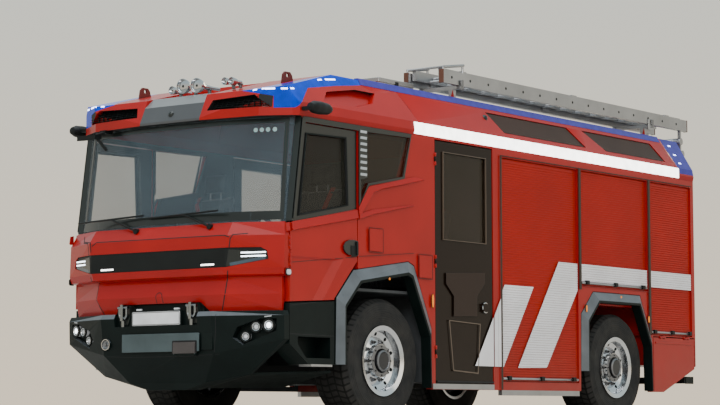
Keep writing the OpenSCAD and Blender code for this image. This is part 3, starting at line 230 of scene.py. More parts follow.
@dataclass(frozen=True)
class Metal:
    """Bare metal, brushed along one axis."""

    name: str
    colour: Colour
    roughness: float = 0.3
    stretch: Point = (1, 0.03, 1)
    stain: float = 0.8

    def material(self) -> bpy.types.Material:
        """Builds the metal's material."""
        graph = Graph(self.name)
        base = graph.ramp(graph.noise(4, 6), (0.25, shade(self.colour, self.stain)), (0.7, self.colour))
        streak = graph.noise(420, 2, self.stretch)
        rough = graph.span(streak, self.roughness * 0.75, self.roughness * 1.35)
        graph.set(Metallic=1, Base_Color=base, Roughness=rough)
        graph.bump(streak, 0.08, 0.0003)
        return graph.material


@dataclass(frozen=True)
class TreadPlate:
    """Aluminium plate with raised bars set crosswise."""

    name: str
    colour: Colour
    pitch: Point = (22, 48, 1)
    bar: Pair = (0.25, 0.36)

    def material(self) -> bpy.types.Material:
        """Builds the plate from two crossed rows of bars."""
        graph = Graph(self.name)
        rows = []
        for turn in (math.pi / 4, -math.pi / 4):
            turned = {"Rotation": (0, 0, turn), "Scale": self.pitch, "Vector": graph.place()}
            inputs = {"Randomness": 0, "Scale": 1, "Vector": graph.node("Mapping", turned).outputs["Vector"]}
            cells = graph.node("TexVoronoi", inputs, feature="F1", voronoi_dimensions="2D")
            rows.append(graph.ramp(cells.outputs["Distance"], (self.bar[0], (1,) * 3), (self.bar[1], (0,) * 3)))
        graph.bump(graph.mix(1, *rows, blend_type="LIGHTEN"), 0.6, 0.0015)
        base = graph.ramp(graph.noise(5, 5), (0.3, shade(self.colour, 0.7)), (0.7, self.colour))
        graph.set(Metallic=1, Base_Color=base, Roughness=graph.span(graph.noise(30), 0.3, 0.5))
        return graph.material


@dataclass(frozen=True)
class Rubber:
    """Tyre rubber with tread blocks, sidewall ribs, grey road dust and painted shade in the grooves, worked out round
    an axle.
    """

    name: str
    axle_y: float
    colour: Colour = (0.010, 0.010, 0.011)
    dust: Colour = (0.034, 0.031, 0.028)
    blocks: float = 56.0
    grooves: float = 84.0
    shoulder: float = 0.497
    ribs: float = 330.0
    # Near-black put where the tread height is low, in the grooves and between the sidewall ribs: painted shade.
    hollow: Colour = (0.002, 0.002, 0.002)

    def material(self) -> bpy.types.Material:
        """Builds the rubber's material."""
        graph = Graph(self.name)
        axle = at(0, self.axle_y, AXLE_Z * 1000)
        local = graph.node("VectorMath", {0: graph.place(), 1: axle}, operation="SUBTRACT")
        split = graph.node("SeparateXYZ", {"Vector": local.outputs["Vector"]})
        x, y, z = (split.outputs[axis] for axis in "XYZ")
        radius = graph.math("SQRT", graph.math("ADD", graph.math("MULTIPLY", y, y), graph.math("MULTIPLY", z, z)))
        angle = graph.math("MULTIPLY", graph.math("ARCTAN2", z, y), self.blocks)
        slant = graph.math("ADD", angle, graph.math("MULTIPLY", graph.math("PINGPONG", x, 0.09), 26))
        lateral = graph.math("GREATER_THAN", graph.math("SINE", slant), -0.55)
        wave = graph.math("COSINE", graph.math("MULTIPLY", x, self.grooves))
        tread = graph.math("MULTIPLY", lateral, graph.math("GREATER_THAN", wave, -0.8))
        mask = graph.math("GREATER_THAN", radius, self.shoulder)
        ribs = graph.math("MULTIPLY", graph.math("SINE", graph.math("MULTIPLY", radius, self.ribs)), 0.12)
        side = graph.math("MULTIPLY", graph.math("ADD", ribs, 0.8), graph.math("SUBTRACT", 1, mask))
        height = graph.math("ADD", graph.math("MULTIPLY", tread, mask), side)
        base = graph.ramp(graph.noise(7, 6), (0.35, self.colour), (0.8, self.dust))
        # Painted shade: low parts of the tread and sidewall blend towards the near-black groove colour.
        graph.set(Base_Color=graph.mix(height, (*self.hollow, 1), base), Specular_IOR_Level=0.3)
        graph.set(Roughness=graph.span(graph.noise(20), 0.62, 0.85))
        graph.bump(height, 1, 0.006)
        return graph.material


@dataclass(frozen=True)
class Glazing:
    """Tinted glass; a low clarity makes privacy glass."""

    name: str
    colour: Colour
    clarity: float
    coat: float = 0.2
    specular: float = 0.3
    roughness: float = 0.04

    def material(self) -> bpy.types.Material:
        """Builds the glass as a thin reflecting film over what lies behind."""
        graph = Graph(self.name)
        smear = graph.ramp(graph.noise(3, 5), (0.3, self.colour), (0.8, shade(self.colour, 1.35)))
        graph.set(Base_Color=smear, Roughness=self.roughness, Alpha=1.0 - self.clarity)
        graph.set(Coat_Weight=self.coat, Coat_Roughness=0.02, Specular_IOR_Level=self.specular)
        graph.material.surface_render_method = "BLENDED"
        return graph.material


@dataclass(frozen=True)
class Lens:
    """Moulded lamp lens with light behind its ribs."""

    name: str
    colour: Colour
    glow: Colour = (1, 1, 1)
    strength: float = 0.0
    ribs: float = 0.0
    specular: float = 0.4

    def material(self) -> bpy.types.Material:
        """Builds the lens."""
        graph = Graph(self.name)
        patch = graph.noise(11, 3)
        base = graph.ramp(patch, (0.3, shade(self.colour, 0.8)), (0.75, shade(self.colour, 1.15)))
        graph.set(Base_Color=base, Roughness=0.14, Specular_IOR_Level=self.specular, Emission_Strength=self.strength)
        if self.strength:
            graph.set(Emission_Color=graph.ramp(patch, (0.25, shade(self.glow, 0.75)), (0.7, self.glow)))
        if self.ribs:
            graph.bump(graph.noise(self.ribs, 0, (1, 1, 0.1)), 0.3, 0.001)
        return graph.material


@dataclass(frozen=True)
class Cloth:
    """Woven seat cloth."""

    name: str
    colour: Colour

    def material(self) -> bpy.types.Material:
        """Builds the cloth from slanting threads."""
        graph = Graph(self.name)
        inputs = {"Scale": 160, "Distortion": 1.5, "Vector": graph.place()}
        weave = graph.node("TexWave", inputs, wave_type="BANDS", bands_direction="DIAGONAL").outputs["Fac"]
        base = graph.ramp(weave, (0.2, shade(self.colour, 0.7)), (0.8, shade(self.colour, 1.3)))
        graph.set(Base_Color=base, Roughness=0.9, Sheen_Weight=0.3)
        graph.bump(weave, 0.3, 0.0006)
        return graph.material


class Finish(Enum):
    """Every finish on the vehicle."""

    RED = Paint("red_enamel", (0.34, 0.004, 0.003), roughness=0.34, coat=0.2, specular=0.16)
    SHUTTER_RED = Paint("shutter_enamel", (0.36, 0.007, 0.0015), roughness=0.42, coat=0.1, specular=0.12)
    # Dark red for panel seams, and for the door and side crease lines, where it is painted shadow.
    DEEP_RED = Paint("shadow_enamel", (0.07, 0.003, 0.003), roughness=0.5, coat=0.1)
    EYE_RED = Paint("lifting_eye_enamel", (0.10, 0.006, 0.005), roughness=0.45, coat=0.1)
    VISOR_GREY = Paint("visor_grey", (0.16, 0.165, 0.17), roughness=0.35, coat=0.4, film=0.0)
    VISOR_DARK = Paint("visor_dark", (0.055, 0.057, 0.062), roughness=0.4, coat=0.3, film=0.0)
    WHITE_FILM = Paint("reflective_white", (0.82, 0.79, 0.82), roughness=0.45, coat=0.1, film=0.06)
    BRONZE = Paint("smoked_panel", (0.009, 0.0045, 0.0025), roughness=0.26, coat=0.08, specular=0.12, film=0.06)
    # Lighter bronze: the real colour of the shutter rails, and on the crew doors' raised panel a painted reflection.
    BRONZE_LIGHT = Paint("smoked_trim", (0.020, 0.010, 0.007), roughness=0.3, coat=0.08, specular=0.15, film=0.06)
    PALE_BRONZE = Paint("pale_line", (0.10, 0.07, 0.05), roughness=0.35, coat=0.2, film=0.0)
    PALE_TRIM = Paint("pale_dashes", (0.42, 0.44, 0.46), roughness=0.35, coat=0.4, film=0.0)
    SENSOR = Paint("sensor_film", (0.34, 0.45, 0.46), roughness=0.4, coat=0.3, film=0.0)
    YELLOW = Paint("rail_yellow", (0.60, 0.38, 0.02), roughness=0.4, coat=0.4, film=0.0)
    CAP_BROWN = Paint("ladder_cap", (0.10, 0.035, 0.02), roughness=0.5, coat=0.1, film=0.0)
    GLOSS_BLACK = Paint("gloss_black", (0.008, 0.011, 0.010), roughness=0.3, coat=0.3, film=0.0)
    SLATE = Plastic("slate_plastic", (0.004, 0.008, 0.0075), roughness=0.42, specular=0.12)
    # Lighter copy of the slate, put by face direction on the flares' bevels and the bumper's top faces: a painted sky
    # reflection.
    SHEEN_SLATE = Plastic("sheen_slate", (0.10, 0.113, 0.128), roughness=0.30)
    HUB_BLACK = Plastic("hub_black", (0.02, 0.02, 0.022), roughness=0.35)
    BLACK = Plastic("black_plastic", (0.006, 0.0075, 0.0075), roughness=0.48, specular=0.2)
    WINCH_GREY = Plastic("winch_cover_grey", (0.055, 0.078, 0.085), roughness=0.42)
    HOOK_GREY = Plastic("winch_hook_grey", (0.055, 0.046, 0.045), roughness=0.5)
    LINING = Plastic("cab_lining", (0.055, 0.06, 0.065), roughness=0.7)
    # Near-black rubber of seals and seams, also used as painted shade under the roof, in its mouths and behind the
    # winch hook.
    SEAL = Plastic("seal_rubber", (0.008, 0.008, 0.009), roughness=0.65)
    PLATE = Plastic("bare_plate", (0.72, 0.73, 0.76), roughness=0.35, grain=0.03)
    FRAME = Plastic("frame_coating", (0.018, 0.018, 0.02), roughness=0.5, grain=0.4)
    CLOTH = Cloth("seat_cloth", (0.03, 0.032, 0.036))
    SEAT_RED = Cloth("belt_webbing", (0.28, 0.012, 0.008))
    LEATHER = Plastic("headrest_leather", (0.02, 0.021, 0.023), roughness=0.55, grain=0.6)
    TREAD = TreadPlate("tread_plate", (0.55, 0.56, 0.58))
    TYRE_FRONT = Rubber("tyre_rubber_front", 0)
    TYRE_REAR = Rubber("tyre_rubber_rear", WHEELBASE)
    ALUMINIUM = Metal("mill_aluminium", (0.40, 0.40, 0.41), roughness=0.38)
    RIM = Metal("polished_rim", (0.66, 0.67, 0.69), roughness=0.16, stretch=(1, 1, 1))
    DARK_CHROME = Metal("shackle_steel", (0.26, 0.28, 0.29), roughness=0.22)
    CHROME = Metal("bright_chrome", (0.52, 0.53, 0.55), roughness=0.09, stain=0.95)
    # Dull steel for small fittings; it also darkens the band of the wheels' hand holes as painted shade.
    STEEL = Metal("dull_steel", (0.22, 0.22, 0.23), roughness=0.42)
    CLEAR_GLASS = Glazing("windscreen_glass", (0.13, 0.175, 0.21), clarity=0.80)
    DOOR_GLASS = Glazing("door_glass", (0.014, 0.014, 0.010), clarity=0.66)
    DARK_GLASS = Glazing("privacy_glass", (0.022, 0.014, 0.007), clarity=0.58)
    ROOF_GLASS = Glazing("roof_glass", (0.035, 0.016, 0.010), clarity=0.05, coat=0, specular=0.12, roughness=0.35)
    WHITE_LIGHT = Lens("white_light", (0.9, 0.9, 0.9), (1, 0.98, 0.94), 5)
    LED = Lens("led_white", (0.9, 0.93, 1), (0.85, 0.93, 1), 6)
    BLUE = Lens("blue_lens", (0, 0.04, 0.48), (0, 0.09, 0.85), 0.06, ribs=180, specular=0.1)
    BLUE_LED = Lens("blue_led", (0.5, 0.6, 1), (0.55, 0.6, 1), 7)
    RIDGE_BLUE = Lens("ridge_blue", (0.03, 0.025, 0.24), (0.10, 0.07, 0.6), 0.14, specular=0.15)
    LENS_BLUE = Lens("lamp_lens_blue", (0.05, 0.075, 0.10))
    SCREEN = Lens("dash_screen", (0.01, 0.02, 0.03), (0.05, 0.12, 0.2), 0.4)
    CLEAR_LENS = Lens("clear_lens", (0.55, 0.57, 0.6), (1, 1, 1), 0.15, ribs=220)
    AMBER = Lens("amber_lens", (0.8, 0.2, 0.01), (1, 0.3, 0.02), 0.5)
    RED_LENS = Lens("red_lens", (0.45, 0.01, 0.008), (1, 0.02, 0.01), 0.3, ribs=150)


_materials: dict[Finish, bpy.types.Material] = {}


def material(finish: Finish) -> bpy.types.Material:
    """The finish's material, built on first use."""
    if finish not in _materials:
        _materials[finish] = finish.value.material()
    return _materials[finish]


# Mesh helpers


@dataclass
class Shape:
    """Points and faces of a piece in the row frame."""

    points: list[Vector] = field(default_factory=list)
    faces: list[tuple[int, ...]] = field(default_factory=list)

    def add(self, points: Iterable[Vector], faces: Iterable[Sequence[int]]) -> "Shape":
        """Adds a closed part to the piece and returns the piece."""
        start = len(self.points)
        self.points.extend(points)
        self.faces.extend(tuple(start + index for index in face) for face in faces)
        return self

    def rings(self, rings: Sequence[Sequence[Vector]], closed: bool = False, capped: bool = True) -> "Shape":
        """Joins rings of equal length into a skin.

        Args:
            rings: the rings, each with its points in order.
            closed: whether the last ring joins the first.
            capped: whether an open run of rings gets a cap at both ends.

        Returns:
            The piece.
        """
        size, count = len(rings[0]), len(rings)
        faces: list[Sequence[int]] = []
        for k in range(count if closed else count - 1):
            here, there = k * size, (k + 1) % count * size
            faces.extend((here + i, here + (i + 1) % size, there + (i + 1) % size, there + i) for i in range(size))
        if capped and not closed:
            faces.append(tuple(reversed(range(size))))
            faces.append(tuple((count - 1) * size + i for i in range(size)))
        return self.add([point for ring in rings for point in ring], faces)

    def prism_x(self, outline: Sequence[Pair], x0: float, x1: float) -> "Shape":
        """Extrudes a (y, z) outline, given from the front axle, between two x planes."""
        return self.rings([[at(x, y, z) for y, z in outline] for x in (x0, x1)])

    def prism_y(self, outline: Sequence[Pair], y0: float, y1: float) -> "Shape":
        """Extrudes an (x, z) outline between two y planes."""
        return self.rings([[at(x, y, z) for x, z in outline] for y in (y0, y1)])

    def on_side(self, outline: Sequence[Pair], sunk: float, proud: float) -> "Shape":
        """Extrudes a (y, z) outline from under the left side's face to above it."""
        return self.prism_x(outline, HALF_W - sunk, HALF_W + proud)

    def block(self, low: Point, high: Point) -> "Shape":
        """A box between two corners."""
        outline = [(low[1], low[2]), (high[1], low[2]), (high[1], high[2]), (low[1], high[2])]
        return self.prism_x(outline, low[0], high[0])

    def lathe(self, profile: Sequence[Pair], place: Matrix, steps: int = 32) -> "Shape":
        """Turns a closed (radius, height) profile round the local Z axis of a place."""
        turns = [place @ Matrix.Rotation(2 * math.pi * k / steps, 4, "Z") for k in range(steps)]
        return self.rings([[turn @ Vector((r, 0, height)) for r, height in profile] for turn in turns], closed=True)

    def tube(self, path: Sequence[Vector], radius: float, steps: int = 10) -> "Shape":
        """A round bar along a path."""
        rings = []
        for k, point in enumerate(path):
            ahead = path[min(k + 1, len(path) - 1)] - path[max(k - 1, 0)]
            turn = ahead.to_track_quat("Z", "Y").to_matrix()
            rings.append([point + turn @ Vector((a, b, 0)) for a, b in ring_of(radius, steps)])
        return self.rings(rings)

    def frame_x(self, outer: Sequence[Pair], inner: Sequence[Pair], x0: float, x1: float) -> "Shape":
        """A flat frame between two (y, z) outlines with the same number of corners."""
        rings = [[at(x1, *o), at(x1, *i), at(x0, *i), at(x0, *o)] for o, i in zip(outer, inner)]
        return self.rings(rings, closed=True)

    def frame_y(self, outer: Sequence[Pair], inner: Sequence[Pair], y0: float, y1: float) -> "Shape":
        """A flat frame between two (x, z) outlines, its last corner laid over the first."""
        rings = [
            [at(o[0], y0, o[1]), at(i[0], y0, i[1]), at(i[0], y1, i[1]), at(o[0], y1, o[1])]
            for o, i in zip(outer, inner)
        ]
        return self.rings([*rings, rings[0]], capped=False)

    def ribbon(self, trail: Sequence[Spot], width: float, proud: float = 0.5, sunk: float = 1.5) -> "Shape":
        """A flat strip laid along points of a surface.

        Args:
            trail: points with the surface's outward normals.
            width: width in millimetres.
            proud: height over the surface in millimetres.
            sunk: depth below the surface in millimetres.

        Returns:
            The piece.
        """
        half, rings = width / 2000, []
        for k, (point, normal) in enumerate(trail):
            ahead = trail[min(k + 1, len(trail) - 1)][0] - trail[max(k - 1, 0)][0]
            side = ahead.cross(normal).normalized() * half
            high, low = normal * proud / 1000, normal * sunk / 1000
            rings.append([point + side + high, point - side + high, point - side - low, point + side - low])
        return self.rings(rings)

    def tile(self, corners: Sequence[Spot], proud: float = 0.6, sunk: float = 1.5) -> "Shape":
        """A flat tile laid on a flat part of a surface."""
        return self.rings([[lifted(spot, -sunk) for spot in corners], [lifted(spot, proud) for spot in corners]])

    def strake(self, upper: Sequence[Pair], lower: Sequence[Pair], back: float, top: float, foot: float) -> "Shape":
        """A long moulding on a side.

        Args:
            upper: (y, z) line of its upper edge.
            lower: (y, z) line of its lower edge.
            back: x of its back.
            top: x of its upper edge.
            foot: x of its lower edge.

        Returns:
            The piece.
        """
        return self.rings(
            [[at(back, *u), at(top, *u), at(foot, *l), at(back, l[0], l[1] - 9)] for u, l in zip(upper, lower)]
        )

    def mirrored(self) -> "Shape":
        """The same piece on the other side of the vehicle."""
        return Shape([Vector((-p.x, p.y, p.z)) for p in self.points], [tuple(reversed(face)) for face in self.faces])


@dataclass(frozen=True)
class Edge:
    """How a piece's edges are finished."""

    width: float = 0.0
    segments: int = 2
    smooth: bool = True


def placed(name: str, data: bpy.types.ID) -> bpy.types.Object:
    """A new object in the scene."""
    piece = bpy.data.objects.new(name, data)
    bpy.context.scene.collection.objects.link(piece)
    return piece


def soften(piece: bpy.types.Object, width: float, segments: int, degrees: float) -> None:
    """Bevels the edges of a piece that are sharper than an angle."""
    bevel = piece.modifiers.new("edges", "BEVEL")
    bevel.width, bevel.segments = width, segments
    bevel.limit_method, bevel.angle_limit = "ANGLE", math.radians(degrees)
    bevel.harden_normals = True


FLAT: Edge = Edge(smooth=False)


def build(
    name: str, shape: Shape, finish: Finish, edge: Edge = Edge(), body: str = "vehicle"
) -> bpy.types.Object:
    """Makes a piece, gives it its finish and lets it ride on a body.

    Args:
        name: name of the piece.
        shape: its points and faces in the row frame.
        finish: what it is made of.
        edge: how its edges are finished.
        body: the body it rides on.

    Returns:
        The new object.
    """
    mesh = bpy.data.meshes.new(name)
    mesh.from_pydata([tuple(p) for p in shape.points], [], shape.faces)
    cleaner = bmesh.new()
    cleaner.from_mesh(mesh)
    bmesh.ops.recalc_face_normals(cleaner, faces=cleaner.faces)
    cleaner.to_mesh(mesh)
    cleaner.free()
    mesh.materials.append(material(finish))
    piece = placed(name, mesh)
    if edge.width:
        soften(piece, edge.width, edge.segments, 35)
    if edge.smooth:
        mesh.shade_smooth()
        mesh.set_sharp_from_angle(angle=math.radians(32))
    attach(piece, body)
    log.info("%s: %d faces", name, len(shape.faces))
    return piece


def build_both(
    name: str, shape: Shape, finish: Finish, edge: Edge = Edge(), bodies: tuple[str, str] = ("vehicle", "vehicle"),
) -> None:
    """Makes a piece drawn on the left, and its mirror image on the right."""
    build(f"{name}_left", shape, finish, edge, bodies[0])
    build(f"{name}_right", shape.mirrored(), finish, edge, bodies[1])


def tint(node: str, finish: Finish, chosen: Callable[[Vector, Vector], bool]) -> None:
    """Gives some faces of a CAD node another finish.

    Args:
        node: the CAD node's name.
        finish: the finish of the chosen faces.
        chosen: says by a face's middle, in millimetres from the front axle, and its normal, whether it is meant.
    """
    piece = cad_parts[node]
    piece.data.materials.append(material(finish))
    last = len(piece.data.materials) - 1
    for polygon in piece.data.polygons:
        middle = polygon.center
        if chosen(Vector((middle.x, middle.y - AXLE_Y, middle.z)) * 1000, polygon.normal):
            polygon.material_index = last


def dress(node: str, finish: Finish, bevel: float = 0.0) -> bpy.types.Object:
    """Gives a CAD node a finish and, if asked, softened edges.

    Args:
        node: the CAD node's name.
        finish: its new finish.
        bevel: width of its softened edges in metres, or 0 for none.

    Returns:
        The node's object.
    """
    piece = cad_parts[node]
    piece.data.materials.clear()
    piece.data.materials.append(material(finish))
    for polygon in piece.data.polygons:
        polygon.material_index = 0
    if bevel:
        weld = piece.modifiers.new("weld", "WELD")
        weld.merge_threshold = 0.00005
        soften(piece, bevel, 2, 28)
    return piece


class Skin:
    """The outer surface of some CAD nodes, so that thin trim can lie on it."""

    def __init__(self, *nodes: str) -> None:
        """Gathers the nodes' faces."""
        points: list[Vector] = []
        faces: list[tuple[int, ...]] = []
        for node in nodes:
            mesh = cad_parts[node].data
            start = len(points)
            points.extend(vertex.co.copy() for vertex in mesh.vertices)
            faces.extend(tuple(start + index for index in polygon.vertices) for polygon in mesh.polygons)
        self.tree = BVHTree.FromPolygons(points, faces)

    def hit(self, start: Vector, way: Vector) -> Spot:
        """First point of the surface on a line, with its outward normal."""
        point, normal, _, _ = self.tree.ray_cast(start, way)
        if point is None:
            reach = max(0, (at(0, 0, 1500) - start).dot(way))
            point, normal, _, _ = self.tree.find_nearest(start + way * reach)
        return point, normal if normal.dot(way) < 0 else -normal

    def side(self, y: float, z: float) -> Spot:
        """The surface seen from the left."""
        return self.hit(at(3000, y, z), Vector((-1, 0, 0)))

    def front(self, x: float, z: float) -> Spot:
        """The surface seen from ahead."""
        return self.hit(at(x, -4000, z), Vector((0, 1, 0)))

    def seen(self, x: float, y: float) -> Spot:
        """The surface seen through a pixel of the photograph."""
        return self.hit(*CAMERA.ray((x, y)))

    def trail(self, look: Callable[[float, float], Spot], line: Sequence[Pair], steps: int = 12) -> list[Spot]:
        """Points of the surface along a line.

        Args:
            look: one of this skin's views.
            line: corners of the line in that view.
            steps: points for each of its stretches.

        Returns:
            The points, each with its normal.
        """
        trail = []
        for (a, b), (c, d) in zip(line, line[1:]):
            trail.extend(look(a + (c - a) * k / steps, b + (d - b) * k / steps) for k in range(steps))
        return trail + [look(*line[-1])]


def lifted(spot: Spot, lift: float) -> Vector:
    """A surface point raised along its normal by some millimetres."""
    return spot[0] + spot[1] * lift / 1000


def facing(spot: Spot) -> Matrix:
    """The place of a surface point, with its local Z axis along the normal."""
    return Matrix.Translation(spot[0]) @ spot[1].to_track_quat("Z", "Y").to_matrix().to_4x4()


def turned(x: float, y: float, z: float, angle: float, axis: str) -> Matrix:
    """The place of a point, turned about one axis."""
    return Matrix.Translation(at(x, y, z)) @ Matrix.Rotation(angle, 4, axis)


def ring_of(radius: float, count: int) -> list[Pair]:
    """Corners of a regular outline."""
    angles = (2 * math.pi * k / count for k in range(count))
    return [(radius * math.cos(angle), radius * math.sin(angle)) for angle in angles]


def oval(across: float, up: float, wide: float, high: float, count: int) -> list[Pair]:
    """An oval outline round a centre, given by its half width and half height."""
    return [(across + a * wide, up + b * high) for a, b in ring_of(1, count)]


def shifted(outline: Sequence[Pair], across: float, up: float) -> list[Pair]:
    """An outline moved in its own plane."""
    return [(across + a, up + b) for a, b in outline]


def rounded(low: Pair, high: Pair, radius: float, steps: int = 5) -> list[Pair]:
    """A rectangle's outline with rounded corners."""
    outline = []
    for x, z, start in ((high[0], low[1], -90), (high[0], high[1], 0), (low[0], high[1], 90), (low[0], low[1], 180)):
        centre_x = x - math.copysign(radius, x - (low[0] + high[0]) / 2)
        centre_z = z - math.copysign(radius, z - (low[1] + high[1]) / 2)
        for k in range(steps + 1):
            angle = math.radians(start + 90 * k / steps)
            outline.append((centre_x + radius * math.cos(angle), centre_z + radius * math.sin(angle)))
    return outline


def sided(stem: str) -> tuple[str, str]:
    """The names of the left and right one of a pair."""
    return f"{stem}_left", f"{stem}_right"


def clipped(outline: Sequence[Pair], axis: int, limit: float, keep_above: bool) -> list[Pair]:
    """The part of a convex outline on one side of a straight cut.

    Args:
        outline: the corners.
        axis: 0 to cut across the first number, 1 across the second.
        limit: where the cut lies.
        keep_above: whether the part beyond the cut stays.

    Returns:
        The corners of what stays, or none.
    """
    sign = 1 if keep_above else -1
    kept: list[Pair] = []
    for here, there in zip(outline, [*outline[1:], *outline[:1]]):
        a, b = (here[axis] - limit) * sign, (there[axis] - limit) * sign
        if a >= 0:
            kept.append(here)
        if a * b < 0:
            t = a / (a - b)
            kept.append((here[0] + (there[0] - here[0]) * t, here[1] + (there[1] - here[1]) * t))
    return kept


def between(outline: Sequence[Pair], axis: int, low: float, high: float) -> list[Pair]:
    """The part of a convex outline between two cuts across the first or second number."""
    return clipped(clipped(outline, axis, low, True), axis, high, False)


# Studio and camera


@dataclass(frozen=True)
class PhotoCamera:
    """The camera solved from the photograph; its place is in millimetres from the front axle."""

    place: Point = (12377, -15519, 92)
    yaw: float = 53.53
    pitch: float = 5.30
    roll: float = -0.12
    lens: float = 113.1
    sensor: float = 36.0
    photo: Pair = (720, 405)

    def turn(self) -> Matrix:
        """The camera's turn: columns to the right, up and back."""
        yaw, pitch = math.radians(self.yaw), math.radians(self.pitch)
        ahead = Vector((-math.cos(yaw) * math.cos(pitch), math.sin(yaw) * math.cos(pitch), math.sin(pitch)))
        right = ahead.cross(Vector((0, 0, 1))).normalized()
        up = right.cross(ahead)
        return Matrix((right, up, -ahead)).transposed() @ Matrix.Rotation(math.radians(self.roll), 3, "Z")

    def ray(self, pixel: Pair) -> tuple[Vector, Vector]:
        """Start and direction of the sight line through a pixel of the photograph."""
        wide, high = self.photo
        reach = wide * self.lens / self.sensor
        local = Vector(((pixel[0] - wide / 2) / reach, (high / 2 - pixel[1]) / reach, -1))
        return at(*self.place), (self.turn() @ local).normalized()

    def build(self) -> None:
        """Creates the camera and makes it the scene's."""
        data = bpy.data.cameras.new("photo_camera")
        data.lens, data.sensor_width, data.sensor_fit = self.lens, self.sensor, "HORIZONTAL"
        data.clip_end = 300.0
        camera = placed("photo_camera", data)
        camera.matrix_world = Matrix.Translation(at(*self.place)) @ self.turn().to_4x4()
        bpy.context.scene.camera = camera
        log.info("camera at %s, %.1f mm", self.place, self.lens)


CAMERA = PhotoCamera()


@dataclass(frozen=True)
class SoftBox:
    """One large area light."""

    name: str
    place: Point
    aim: Point
    size: float
    power: float
    colour: Colour = (1, 1, 1)

    def build(self) -> None:
        """Creates the light, turned to its aim."""
        data = bpy.data.lights.new(self.name, "AREA")
        data.shape, data.size, data.energy, data.color = "SQUARE", self.size, self.power, self.colour
        lamp = placed(self.name, data)
        lamp.location = self.place
        lamp.rotation_euler = (Vector(self.aim) - Vector(self.place)).to_track_quat("-Z", "Y").to_euler()


@dataclass(frozen=True)
class Studio:
    """Plain pale floor, pale surroundings and soft light."""

    floor_half: float = 60.0
    floor_colour: Colour = (0.62, 0.58, 0.53)
    sky_low: Colour = (0.98, 0.84, 0.64)
    sky_high: Colour = (0.64, 0.76, 0.78)
    sky_turn: float = 0.35
    sky_strength: float = 1.1

    def build(self) -> None:
        """Makes the floor, the surroundings and the lights."""
        half = self.floor_half
        mesh = bpy.data.meshes.new("studio_floor")
        corners = [(-half, -half, 0), (half, -half, 0), (half, half, 0), (-half, half, 0)]
        mesh.from_pydata(corners, [], [(0, 1, 2, 3)])
        mesh.materials.append(Plastic("floor_grey", self.floor_colour, roughness=0.8, grain=0.1).material())
        placed("studio_floor", mesh)
        self._surroundings()
        for light in self._lights():
            light.build()
        log.info("studio ready")

    def _surroundings(self) -> None:
        """Gives the world a soft vertical shading."""
        world = bpy.data.worlds.new("studio")
        bpy.context.scene.world = world
        world.use_nodes = True
        tree = world.node_tree
        tree.nodes.clear()
        coords, split, ramp, background, output = (
            tree.nodes.new(f"ShaderNode{kind}")
            for kind in ("TexCoord", "SeparateXYZ", "ValToRGB", "Background", "OutputWorld")
        )
        skies = ((0, self.sky_low), (self.sky_turn, self.sky_high))
        for element, (place, colour) in zip(ramp.color_ramp.elements, skies):
            element.position, element.color = place, (*colour, 1)
        background.inputs["Strength"].default_value = self.sky_strength
        tree.links.new(coords.outputs["Generated"], split.inputs["Vector"])
        tree.links.new(split.outputs["Z"], ramp.inputs["Fac"])
        tree.links.new(ramp.outputs["Color"], background.inputs["Color"])
        tree.links.new(background.outputs["Background"], output.inputs["Surface"])

    def _lights(self) -> list[SoftBox]:
        """The soft boxes round the vehicle."""
        return [
            SoftBox("overhead", (1, -3, 11), (0, -1, 1), 10, 1000, (0.93, 0.97, 1)),
            SoftBox("key", (7.5, -12, 6.5), (0, -1.5, 1.2), 5, 620, (1, 0.97, 0.95)),
            SoftBox("side", (13, 4, 4), (0, 1.5, 1.5), 6, 160, (1, 0.90, 0.74)),
            SoftBox("rim", (-3, 14, 6), (0, 2, 2), 6, 700, (1, 0.82, 0.55)),
        ]


# Body work


@dataclass(frozen=True)
class CarriedFinishes:
    """What every CAD node that stays in view is made of, and how its edges are softened."""

    table: tuple[tuple[Finish, float, tuple[str, ...]], ...] = (
        (Finish.RED, 0.004, ("cab_front_panel", *sided("cab_side"), "cab_roof", "body_shell", "body_roof")),
        (Finish.RED, 0.003, (*sided("front_door"), "rear_hatch", *sided("locker_flap"))),
        (Finish.SHUTTER_RED, 0, ("roller_shutters",)),
        (Finish.BRONZE, 0.003, sided("crew_door")),
        (Finish.SLATE, 0.006, ("front_bumper", "wheel_flares", "entry_steps")),
        (Finish.BLACK, 0.003, ("mirror_cameras", "wipers", "rear_step", "headlamp_band", "traction_battery")),
        (Finish.LINING, 0.004, ("cab_floor", "dashboard", "steering_wheel")),
        (Finish.FRAME, 0, ("chassis_frame", "front_axle", "rear_axle", *sided("knuckle"), "tie_rod")),
        (Finish.CLEAR_GLASS, 0, ("windscreen",)),
        (Finish.DOOR_GLASS, 0, sided("front_door_glass")),
        (Finish.DARK_GLASS, 0, ("fixed_glass", *sided("crew_door_glass"))),
        (Finish.BLUE, 0.004, ("corner_beacons",)),
        (Finish.RIDGE_BLUE, 0, ("ridge_light_strips",)),
        (Finish.WHITE_LIGHT, 0, ("scene_light_strips",)),
        (Finish.CLEAR_LENS, 0.002, ("bumper_lamps",)),
        (Finish.GLOSS_BLACK, 0.002, ("headlamps",)),
        (Finish.RED_LENS, 0.002, ("rear_lamps",)),
        (Finish.ALUMINIUM, 0.001, ("sill_rails", "roof_ladder")),
        (Finish.CHROME, 0, ("roof_horns",)),
        (Finish.DARK_CHROME, 0, ("tow_shackles",)),
        (Finish.CLOTH, 0, ("front_seats", "crew_seats")),
        (Finish.RIM, 0, (*sided("rim_front"), *sided("rim_rear"))),
        (Finish.TYRE_FRONT, 0, sided("tyre_front")),
        (Finish.TYRE_REAR, 0, sided("tyre_rear")),
    )

    def apply(self) -> None:
        """Dresses every node of the table."""
        for finish, bevel, nodes in self.table:
            for node in nodes:
                dress(node, finish, bevel)
            log.info("%s on %d nodes", finish.name, len(nodes))


